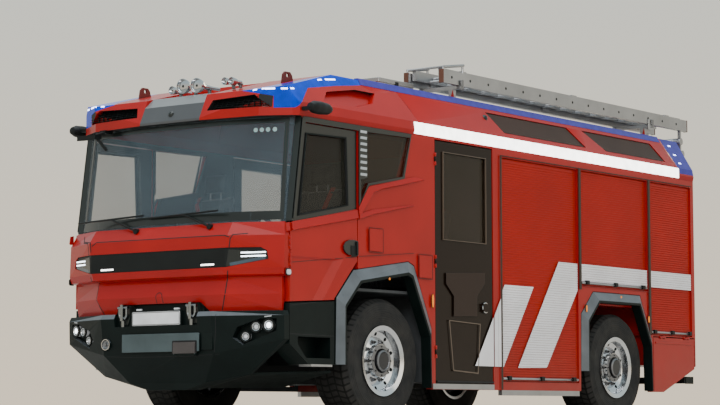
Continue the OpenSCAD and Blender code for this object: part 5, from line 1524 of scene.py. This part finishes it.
@dataclass(frozen=True)
class Wheels:
    """Nuts, hubs, valve and hand-hole shadows of the four wheels."""

    centre_x: float = 957.5
    nuts: int = 10
    nut_ring: float = 0.165
    nut: Line = (
        (0.0005, 0), (0.021, 0), (0.021, 0.006), (0.015, 0.008), (0.015, 0.03), (0.0005, 0.03),
    )
    stud: Line = ((0.0005, 0.028), (0.009, 0.028), (0.009, 0.042), (0.0005, 0.044))
    cap_screws: int = 8
    cap_ring: float = 0.1205
    cap_screw: Line = ((0.0005, 0), (0.007, 0), (0.007, 0.008), (0.0005, 0.01))
    hub_rim: Line = ((0.072, 0.194), (0.076, 0.2), (0.09, 0.192), (0.09, 0.186))
    hub_foot: Line = ((0.1, 0.168), (0.104, 0.174), (0.136, 0.172), (0.138, 0.166))
    valve: tuple[Point, Point] = ((0.242, 0, 0.1), (0.262, 0, 0.165))

    def build(self) -> None:
        """Builds every wheel's fittings."""
        for end, y in (("front", 0), ("rear", WHEELBASE)):
            for side, sign in (("left", 1), ("right", -1)):
                self._wheel(f"{end}_{side}", y, sign)

    def _wheel(self, name: str, y: float, sign: int) -> None:
        """Fittings of one wheel."""
        z = AXLE_Z * 1000
        axle = Vector((y, z))
        rim = f"rim_{name}"
        tint(rim, Finish.HUB_BLACK, lambda p, n: (p.yz - axle).length < 104)
        outer = self.centre_x + 96
        # Painted shade: the band of the hand holes is made dull steel, darker than the polished rim.
        tint(rim, Finish.STEEL, lambda p, n: 207 < (p.yz - axle).length < 246 and abs(p.x) < outer)
        place = turned(sign * self.centre_x, y, z, sign * math.pi / 2, "Y")
        nuts, caps, hub = Shape(), Shape(), Shape()
        for k in range(self.nuts):
            angle = 2 * math.pi * (k + 0.5) / self.nuts
            spot = self._round(place, self.nut_ring, angle, 0.108)
            nuts.lathe(self.nut, spot, 6)
            caps.lathe(self.stud, spot, 12)
        hub.lathe(self.hub_rim, place, 40)
        hub.lathe(self.hub_foot, place, 48)
        for k in range(self.cap_screws):
            caps.lathe(self.cap_screw, self._round(place, self.cap_ring, 2 * math.pi * k / self.cap_screws, 0.17), 6)
        start, end = (place @ Vector(point) for point in self.valve)
        stem = Shape().tube([start, (start + end) / 2, end], 0.005, 8)
        for piece, shape, finish in (
            ("wheel_nuts", nuts, Finish.STEEL), ("wheel_studs", caps, Finish.HUB_BLACK),
            ("hub_rings", hub, Finish.STEEL), ("valve", stem, Finish.STEEL),
        ):
            build(f"{piece}_{name}", shape, finish, body=f"wheel_{name}")

    @staticmethod
    def _round(place: Matrix, radius: float, angle: float, height: float) -> Matrix:
        """A place on a ring round the wheel's own axle."""
        return place @ Matrix.Translation((radius * math.cos(angle), radius * math.sin(angle), height))


@dataclass(frozen=True)
class RoofDeck:
    """Deck plates, roof box lids and ladder fittings."""

    deck_z: float = 2870.0
    box_floor: float = 2930.0
    boxes: tuple[tuple[float, float, float, float, float], ...] = (
        (300, 760, 480, 1010, 3030), (-860, -300, 900, 2500, 3040),
    )
    plate_x: Pair = (-250, 270)
    plates: int = 5
    screw: Line = ((0.0005, 0), (0.009, 0), (0.006, 0.004), (0.0005, 0.005))
    rail_x: float = -905.0
    rail_z: float = 2960.0
    rail_y: Pair = (2700, 5230)
    rail_posts: tuple[float, ...] = (3300, 3950, 4600)
    ladder: tuple[float, float, float, float] = (580, 1010, 1120, 5700)
    ladder_z: Pair = (3045, 3165)
    clamp_y: Pair = (1380, 4900)
    sign_plate: Line = ((4846, 2986), (4968, 3096))

    def build(self) -> None:
        """Builds the roof's fittings."""
        tint("body_roof", Finish.TREAD, lambda p, n: n.z > 0.9 and abs(p.z - self.deck_z) < 4 and abs(p.x) < 960)
        tint("body_roof", Finish.ALUMINIUM, self._on_box)
        for number, box in enumerate(self.boxes):
            self._box(f"roof_box_{number}", *box)
        self._deck()
        self._ladder()

    def _on_box(self, p: Vector, n: Vector) -> bool:
        """Whether a face of the roof belongs to a locker or a trestle."""
        return p.z > self.box_floor and abs(p.x) < 1012 and max(abs(n.x), abs(n.y), abs(n.z)) > 0.9

    def _box(self, name: str, x0: float, x1: float, y0: float, y1: float, top: float) -> None:
        """Lid, side plates and latches of one roof box."""
        lid = Shape().block((x0 - 6, y0 - 6, top - 34), (x1 + 6, y1 + 6, top + 8))
        build(f"{name}_lid", lid, Finish.ALUMINIUM, Edge(0.006, 3))
        pads, latches = Shape(), Shape()
        count = max(1, round((y1 - y0) / 420))
        for k in range(count):
            a, b = y0 + (y1 - y0) * k / count, y0 + (y1 - y0) * (k + 1) / count
            pads.block((x0 + 40, a + 26, top + 6), (x1 - 40, b - 26, top + 11))
            for x in (x0 - 10, x1 + 4):
                latches.block((x, (a + b) / 2 - 24, top - 62), (x + 6, (a + b) / 2 + 24, top - 8))
        build(f"{name}_pads", pads, Finish.TREAD, Edge(0.003))
        build(f"{name}_latches", latches, Finish.BLACK, Edge(0.002))

    def _deck(self) -> None:
        """A run of tread plates with their screws, and a low rail along the far edge."""
        plates, screws, rail = Shape(), Shape(), Shape()
        (x0, x1), deck = self.plate_x, self.deck_z
        for y0 in (1080 + k * 850 for k in range(self.plates)):
            plates.block((x0, y0, deck - 1), (x1, y0 + 820, deck + 4))
            for x in (x0 + 25, x1 - 25):
                for y in (y0 + 25, y0 + 410, y0 + 795):
                    screws.lathe(self.screw, Matrix.Translation(at(x, y, deck + 4)), 10)
        build("deck_plates", plates, Finish.TREAD, Edge(0.0015))
        build("deck_screws", screws, Finish.STEEL)
        x, z, (y0, y1) = self.rail_x, self.rail_z, self.rail_y
        hoop = [(y0, deck), (y0, z - 30), (y0 + 30, z), (y1 - 30, z), (y1, z - 30), (y1, deck)]
        rail.tube([at(x, *point) for point in hoop], 0.014, 12)
        for y in self.rail_posts:
            rail.tube([at(x, y, deck), at(x, y, z)], 0.011, 10)
        build("deck_rail", rail, Finish.ALUMINIUM)

    def _ladder(self) -> None:
        """Rail slots, end caps, rung pads and clamps of the ladder."""
        (x0, x1, y0, y1), (low, high) = self.ladder, self.ladder_z
        caps, holes, clamps, feet = Shape(), Shape(), Shape(), Shape()
        for x in (x0, x1 - 42):
            for y in (y0 - 4, y1 - 10):
                caps.block((x - 3, y, low - 3), (x + 45, y + 14, high + 3))
        for x in (x0 - 1.2, x1 - 0.8):
            for y in (y0 + 140 + k * 300 for k in range(15)):
                holes.prism_x(oval(y, 3105, 13, 13, 14), x, x + 2)
        for y in self.clamp_y:
            for x, cheek in ((x0 - 12, x0 - 18), (x1 - 30, x1 + 12)):
                clamps.block((x, y - 6, low - 34), (x + 42, y + 56, low - 2))
                clamps.prism_x(rounded((y + 2, low - 4), (y + 48, low + 52), 10), cheek, cheek + 6)
        for y in (y1 - 120 + k * 24 for k in range(4)):
            feet.block((x0 + 4, y, low + 16), (x0 + 38, y + 14, high + 2))
        plate = Shape().prism_x(rounded(*self.sign_plate, 12), x1 + 2, x1 + 8)
        build("ladder_caps", caps, Finish.CAP_BROWN, Edge(0.004))
        build("ladder_rail_holes", holes, Finish.SEAL)
        build("ladder_clamps", clamps, Finish.STEEL, Edge(0.003))
        build("ladder_feet", feet, Finish.BLACK, Edge(0.002))
        build("ladder_plate", plate, Finish.ALUMINIUM, Edge(0.002))


@dataclass(frozen=True)
class Rear:
    """Lamps, handle, step tread, camera and lower fittings of the tail."""

    lamps: tuple[tuple[Finish, Pair, Pair, Pair], ...] = (
        (Finish.AMBER, (788, 1392), (892, 1472), (20, 31)), (Finish.RED_LENS, (788, 1240), (892, 1380), (20, 31)),
        (Finish.RED_LENS, (788, 1112), (892, 1228), (20, 31)), (Finish.CLEAR_LENS, (788, 990), (892, 1100), (20, 31)),
        (Finish.RED_LENS, (948, 988), (1082, 1076), (15, 24)), (Finish.AMBER, (948, 1088), (1082, 1172), (15, 24)),
    )
    bezels: tuple[tuple[Pair, Pair, float], ...] = (((776, 974), (904, 1486), 24), ((936, 974), (1094, 1186), 18))
    plate: tuple[float, float, float, float] = (-260, 260, 690, 802)
    treads: int = 14
    tread_pitch: float = 148.0
    rail_path: Line = ((4, 1560), (60, 1580), (60, 2180), (4, 2200))
    work_lamps: Pair = (-420, 420)
    camera_eye: Line = (
        (0.0005, 0.006), (0.010, 0.004), (0.014, 0), (0.018, 0.004), (0.018, -0.004), (0.0005, -0.004),
    )
    led_spots: Line = ((5246, 2850), (5264, 2754), (5280, 2664))
    hatch_rows: Line = ((0.10, 0.36), (0.40, 0.66), (0.70, 0.95))

    def build(self) -> None:
        """Builds the tail's trim."""
        lenses: dict[Finish, Shape] = {}
        for finish, low, high, (back, front) in self.lamps:
            lenses.setdefault(finish, Shape()).prism_y(rounded(low, high, 10), REAR + back, REAR + front)
        for finish, shape in lenses.items():
            build_both(f"tail_{finish.name.lower()}", shape, finish, Edge(0.004, 3))
        bezels = Shape()
        for low, high, front in self.bezels:
            bezels.prism_y(rounded(low, high, 12), REAR + 2, REAR + front)
        build_both("tail_bezels", bezels, Finish.BLACK, Edge(0.003))
        x0, x1, low, high = self.plate
        plate = Shape().prism_y(rounded((x0, low), (x1, high), 10), REAR + 6, REAR + 10)
        build("rear_bare_plate", plate, Finish.PLATE, Edge(0.001))
        holder = Shape().prism_y(rounded((x0 - 10, low - 10), (x1 + 10, high + 30), 12), REAR - 1, REAR + 7)
        holder.prism_y(rounded((-60, high + 12), (60, high + 34), 8), REAR + 4, REAR + 28)
        build("rear_plate_holder", holder, Finish.BLACK, Edge(0.002))
        self._step()
        self._upper()
        self._hatch()

    def _step(self) -> None:
        """Aluminium tread on the rear step, its end caps, the tow eye and the grab rails."""
        tread = Shape()
        for x in (-1030 + k * self.tread_pitch for k in range(self.treads)):
            tread.block((x, REAR + 26, 451), (x + 136, REAR + 134, 455))
        build("rear_step_tread", tread, Finish.TREAD, Edge(0.0015))
        ends = Shape().block((1052, REAR - 20, 380), (1066, REAR + 152, 456))
        build_both("rear_step_ends", ends, Finish.SLATE, Edge(0.004))
        ring = Shape().lathe(shifted(ring_of(0.012, 10), 0.045, 0), turned(0, REAR + 100, 372, math.pi / 2, "Y"), 32)
        build("rear_tow_ring", ring, Finish.STEEL)
        rails = Shape().prism_y(rounded((640, 1530), (700, 1560), 8), REAR + 2, REAR + 12)
        rails.tube([at(700, REAR + back, z) for back, z in self.rail_path], 0.016, 12)
        build_both("rear_grab_rails", rails, Finish.ALUMINIUM, Edge(0.002))

    def _upper(self) -> None:
        """Camera, work lamps and lit spots of the upper tail."""
        lamps, lens, spots = Shape(), Shape(), Shape()
        for x in self.work_lamps:
            lamps.prism_y(rounded((x - 90, 2492), (x + 90, 2556), 14), REAR - 40, REAR + 26)
            lens.prism_y(rounded((x - 78, 2502), (x + 78, 2546), 10), REAR + 24, REAR + 30)
        lamps.prism_y(rounded((-34, 2500), (34, 2552), 14), REAR - 40, REAR + 34)
        build("tail_work_lamps", lamps, Finish.BLACK, Edge(0.005, 3))
        build("tail_work_lenses", lens, Finish.CLEAR_LENS, Edge(0.002))
        eye = Shape().lathe(self.camera_eye, turned(0, REAR + 34, 2526, -math.pi / 2, "X"), 28)
        build("tail_camera_eye", eye, Finish.GLOSS_BLACK)
        skin = Skin("ridge_light_strips")
        for y, z in self.led_spots:
            point, normal = skin.side(y, z)
            run = normal.cross(Vector((1, 0, 0))).normalized() * 0.026
            spots.ribbon([(point - run, normal), (point, normal), (point + run, normal)], 15, 2.5, 1)
        build_both("tail_blue_spots", spots, Finish.BLUE_LED, Edge(0.003))

    def _hatch(self) -> None:
        """Handle and pressed panels of the rear hatch."""
        (x0, _, z0), (x1, _, z1) = (Vector(corner) * 1000 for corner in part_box("rear_hatch"))
        panels = Shape()
        for a, b in self.hatch_rows:
            low, high = (x0 + 90, z0 + (z1 - z0) * a), (x1 - 90, z0 + (z1 - z0) * b)
            panels.prism_y(rounded(low, high, 30), REAR - 1, REAR + 4)
        build("hatch_panels", panels, Finish.RED, Edge(0.003, 3), "rear_hatch")
        grip = Shape().prism_y(rounded((-200, z0 + 58), (200, z0 + 86), 12), REAR + 32, REAR + 38)
        build("hatch_grip", grip, Finish.CHROME, Edge(0.003), "rear_hatch")


@dataclass(frozen=True)
class Cab:
    """Instruments, screens and trim inside the cab."""

    wheel_place: Point = (560, -960, 1580)
    rake: float = -48.0
    boss: Line = ((0.0005, 0.034), (0.04, 0.03), (0.06, 0.018), (0.064, -0.01), (0.0005, -0.01))
    near_bezel: Line = ((-1178, 1592), (-1120, 1700), (-1100, 1694), (-1150, 1580))
    near_screen: Line = ((-1149, 1600), (-1111, 1684), (-1107, 1682), (-1146, 1597))
    mid_bezel: Line = ((-1190, 1560), (-1130, 1712), (-1112, 1706), (-1166, 1550))
    mid_screen: Line = ((-1168, 1580), (-1124, 1694), (-1120, 1692), (-1165, 1577))
    vents: tuple[float, ...] = (-880, -520, 330, 820)
    slat: Line = ((-1100, 1455), (-1084, 1459), (-1084, 1462), (-1100, 1459))
    rail: Line = ((640, 1350), (640, 2050), (660, 2080))

    def build(self) -> None:
        """Builds the cab's fittings."""
        bezels = Shape().prism_x(self.near_bezel, 400, 720).prism_x(self.mid_bezel, -170, 190)
        screens = Shape().prism_x(self.near_screen, 414, 706).prism_x(self.mid_screen, -152, 172)
        keys, vents, rails = Shape(), Shape(), Shape()
        for x in (-260 + k * 66 for k in range(8)):
            keys.prism_x(rounded((-1108, 1400), (-1092, 1424), 4, 2), x, x + 50)
        for x in self.vents:
            for k in range(4):
                vents.prism_x(shifted(self.slat, 0, k * 13), x - 60, x + 60)
        build("dash_bezels", bezels, Finish.BLACK, Edge(0.005, 3))
        build("dash_screens", screens, Finish.SCREEN, Edge(0.001))
        build("dash_keys", keys, Finish.SLATE, Edge(0.002))
        build("dash_vents", vents, Finish.BLACK)
        boss = Shape().lathe(self.boss, turned(*self.wheel_place, math.radians(self.rake), "X"), 32)
        build("steering_boss", boss, Finish.SLATE, body="steering_wheel")
        for x in (-1086, 1086):
            rails.tube([at(x, y, z) for y, z in self.rail], 0.014, 10)
        build("cab_grab_rails", rails, Finish.YELLOW)


@dataclass(frozen=True)
class Pad:
    """One upholstered pad: a section along the seat, its width, and how the cloth fills it."""

    name: str
    section: Line
    width: float
    stations: tuple[float, ...] = (-1, -0.5, 0, 0.5, 1)

    def blank(self) -> bpy.types.Object:
        """A closed pad at the seat's own zero, before it is remeshed and blown up."""
        xs = [self.width / 2 * share / 1000 for share in self.stations]
        shape = Shape().rings([[Vector((x, y / 1000, z / 1000)) for y, z in self.section] for x in xs])
        mesh = bpy.data.meshes.new(self.name)
        mesh.from_pydata([tuple(p) for p in shape.points], [], shape.faces)
        return placed(self.name, mesh)


@dataclass(frozen=True)
class Seats:
    """Upholstered front and crew seats on their bases, with belts."""

    front: tuple[Point, ...] = ((-600, -430, 1380), (600, -430, 1380))
    crew: tuple[Point, ...] = ((-560, 1290, 1320), (0, 1290, 1320), (560, 1290, 1320))
    voxel: float = 0.006
    quick_voxel: float = 0.012
    cap: float = 0.016
    frames: int = 20
    pressure: float = 4.0
    seam_depth: float = 0.006
    side_seams: Pair = (-0.5, 0.5)
    back_seams: Pair = (0.3, 0.62)
    seat_seams: Pair = (-0.1, 0.06)
    pads: tuple[Pad, ...] = (
        Pad("seat_pad", ((-252, -96), (-272, -36), (-244, -10), (-40, -24), (188, -38), (188, -96)), 470),
        Pad("seat_back", ((150, -18), (204, -18), (318, 592), (296, 622), (246, 610)), 430),
        Pad("seat_rest", ((270, 662), (336, 660), (354, 820), (302, 830), (276, 796)), 226),
    )

    def build(self) -> None:
        """Blows up one pad of each kind, then places them on all seats with their bases and belts."""
        made = {pad.name: self._cushion(pad) for pad in self.pads}
        for row, spots in (("front", self.front), ("crew", self.crew)):
            for number, spot in enumerate(spots):
                for pad in self.pads:
                    self._place(made[pad.name], f"{row}_{pad.name}_{number}", spot)
                self._piping(f"{row}_seat_piping_{number}", *spot)
                self._belt(row, number, *spot)
        for mesh in made.values():
            bpy.data.meshes.remove(mesh)
        bases, bench, posts = Shape(), Shape(), Shape()
        for x, y, z in self.front:
            bases.block((x - 190, y - 170, 1131), (x + 190, y + 190, z - 108))
            bases.block((x - 215, y - 205, z - 120), (x + 215, y + 200, z - 98))
        bench.block((-1080, 1390, 941), (1080, 1664, 1211))
        for x, y, z in self.crew:
            bench.block((x - 205, y - 230, z - 118), (x + 205, y + 120, z - 98))
            bench.block((x - 60, y - 40, 941), (x + 60, y + 100, z - 110))
        for x, y, z in (*self.front, *self.crew):
            for dx in (-60, 60):
                posts.tube([at(x + dx, y + 300, z + 590), at(x + dx, y + 306, z + 690)], 0.008, 10)
        front = build("front_seat_bases", bases, Finish.BLACK, Edge(0.01, 3))
        crew = build("crew_seat_bench", bench, Finish.BLACK, Edge(0.008, 3))
        build("seat_posts", posts, Finish.STEEL)
        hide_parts("front_seats")
        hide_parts("crew_seats")

    def _cushion(self, pad: Pad) -> bpy.types.Mesh:
        """Remeshes and inflates one pad with cloth.

        Args:
            pad: the pad to make.

        Returns:
            Its finished mesh, round the seat's own zero.
        """
        piece = pad.blank()
        bpy.context.view_layer.objects.active = piece
        piece.select_set(True)
        remesh = piece.modifiers.new("remesh", "REMESH")
        remesh.mode, remesh.voxel_size = "VOXEL", self.voxel
        bpy.ops.object.modifier_apply(modifier="remesh")
        rest = [vertex.co.copy() for vertex in piece.data.vertices]
        cloth = piece.modifiers.new("cloth", "CLOTH")
        cloth.settings.use_pressure = True
        cloth.settings.uniform_pressure_force = self.pressure
        cloth.settings.effector_weights.gravity = 0.0
        cloth.settings.quality = 4
        cloth.collision_settings.use_collision = False
        cloth.point_cache.frame_start, cloth.point_cache.frame_end = 1, self.frames
        for number in range(1, self.frames + 1):
            bpy.context.scene.frame_set(number)
        bpy.ops.object.modifier_apply(modifier="cloth")
        bpy.context.scene.frame_set(1)
        self._shape(piece.data, rest, pad)
        piece.select_set(False)
        mesh = piece.data
        bpy.data.objects.remove(piece)
        log.info("%s: %d points after the cloth pass", pad.name, len(mesh.vertices))
        return mesh

    def _shape(self, mesh: bpy.types.Mesh, rest: Sequence[Vector], pad: Pad) -> None:
        """Caps how far the cloth moved and presses the sewn channels in."""
        half = pad.width / 2000
        heights = [z / 1000 for _, z in pad.section]
        low, tall = min(heights), max(heights) - min(heights)
        for vertex, start in zip(mesh.vertices, rest):
            moved = vertex.co - start
            if moved.length > self.cap:
                vertex.co = start + moved.normalized() * self.cap
            across = vertex.co.x / half
            offsets = [(across - line) / 0.035 for line in self.side_seams]
            if abs(across) < 0.5 and tall > 0.2:
                offsets.extend(((vertex.co.z - low) / tall - share) / 0.02 for share in self.back_seams)
            elif abs(across) < 0.5:
                offsets.extend((vertex.co.y - y) / 0.007 for y in self.seat_seams)
            vertex.co -= vertex.normal * self.seam_depth * max(math.exp(-(offset**2)) for offset in offsets)
        mesh.update()

    def _place(self, mesh: bpy.types.Mesh, name: str, spot: Point) -> None:
        """Puts a copy of a finished pad on one seat."""
        copy = mesh.copy()
        copy.name = name
        copy.transform(Matrix.Translation(at(*spot)))
        copy.materials.clear()
        copy.materials.append(material(Finish.LEATHER if "rest" in name else Finish.CLOTH))
        copy.shade_smooth()
        piece = placed(name, copy)
        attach(piece, "vehicle")

    def _piping(self, name: str, x: float, y: float, z: float) -> None:
        """Side bolsters' piping of one seat."""
        cord = Shape()
        for px in (x - 122, x + 122):
            seat = [(y - 262, z - 22), (y - 236, z + 4), (y - 40, z - 6), (y + 150, z - 16)]
            back = [(y + 152, z + 40), (y + 206, z + 330), (y + 248, z + 590)]
            for path in (seat, back):
                cord.tube([at(px, *point) for point in path], 0.004, 8)
        build(name, cord, Finish.SEAT_RED)

    def _belt(self, row: str, number: int, x: float, y: float, z: float) -> None:
        """Flat red belt over one seat's back, with its buckle."""
        side = 1 if x >= 0 else -1
        path = ((150, 262, 628), (146, 214, 560), (60, 170, 330), (-90, 118, 90), (-190, 100, 10), (-226, 110, -60))
        normal = Vector((0.1 * side, -0.92, 0.3)).normalized()
        belt = Shape().ribbon([(at(x + side * a, y + b, z + c), normal) for a, b, c in path], 46, 1.2, 1.2)
        build(f"{row}_belt_{number}", belt, Finish.SEAT_RED)
        end = x + side * path[-1][0]
        buckle = Shape().block((end - 16, y + 88, z - 76), (end + 16, y + 128, z + 6))
        build(f"{row}_buckle_{number}", buckle, Finish.BLACK, Edge(0.004, 3))


def main() -> None:
    """Builds the scene in order."""
    logging.basicConfig(level=logging.INFO, format="%(message)s")
    CAMERA.build()
    Studio().build()
    CarriedFinishes().apply()
    for part in (
        CabFront(), Greenhouse(), FrontDoors(), SidePanels(), CrewDoors(), Livery(), ShutterTrim(),
        Bumper(), RoofFront(), Wheels(), RoofDeck(), Rear(), Cab(), Seats(),
    ):
        part.build()
        log.info("%s built", type(part).__name__)


if __name__ == "__main__":
    main()
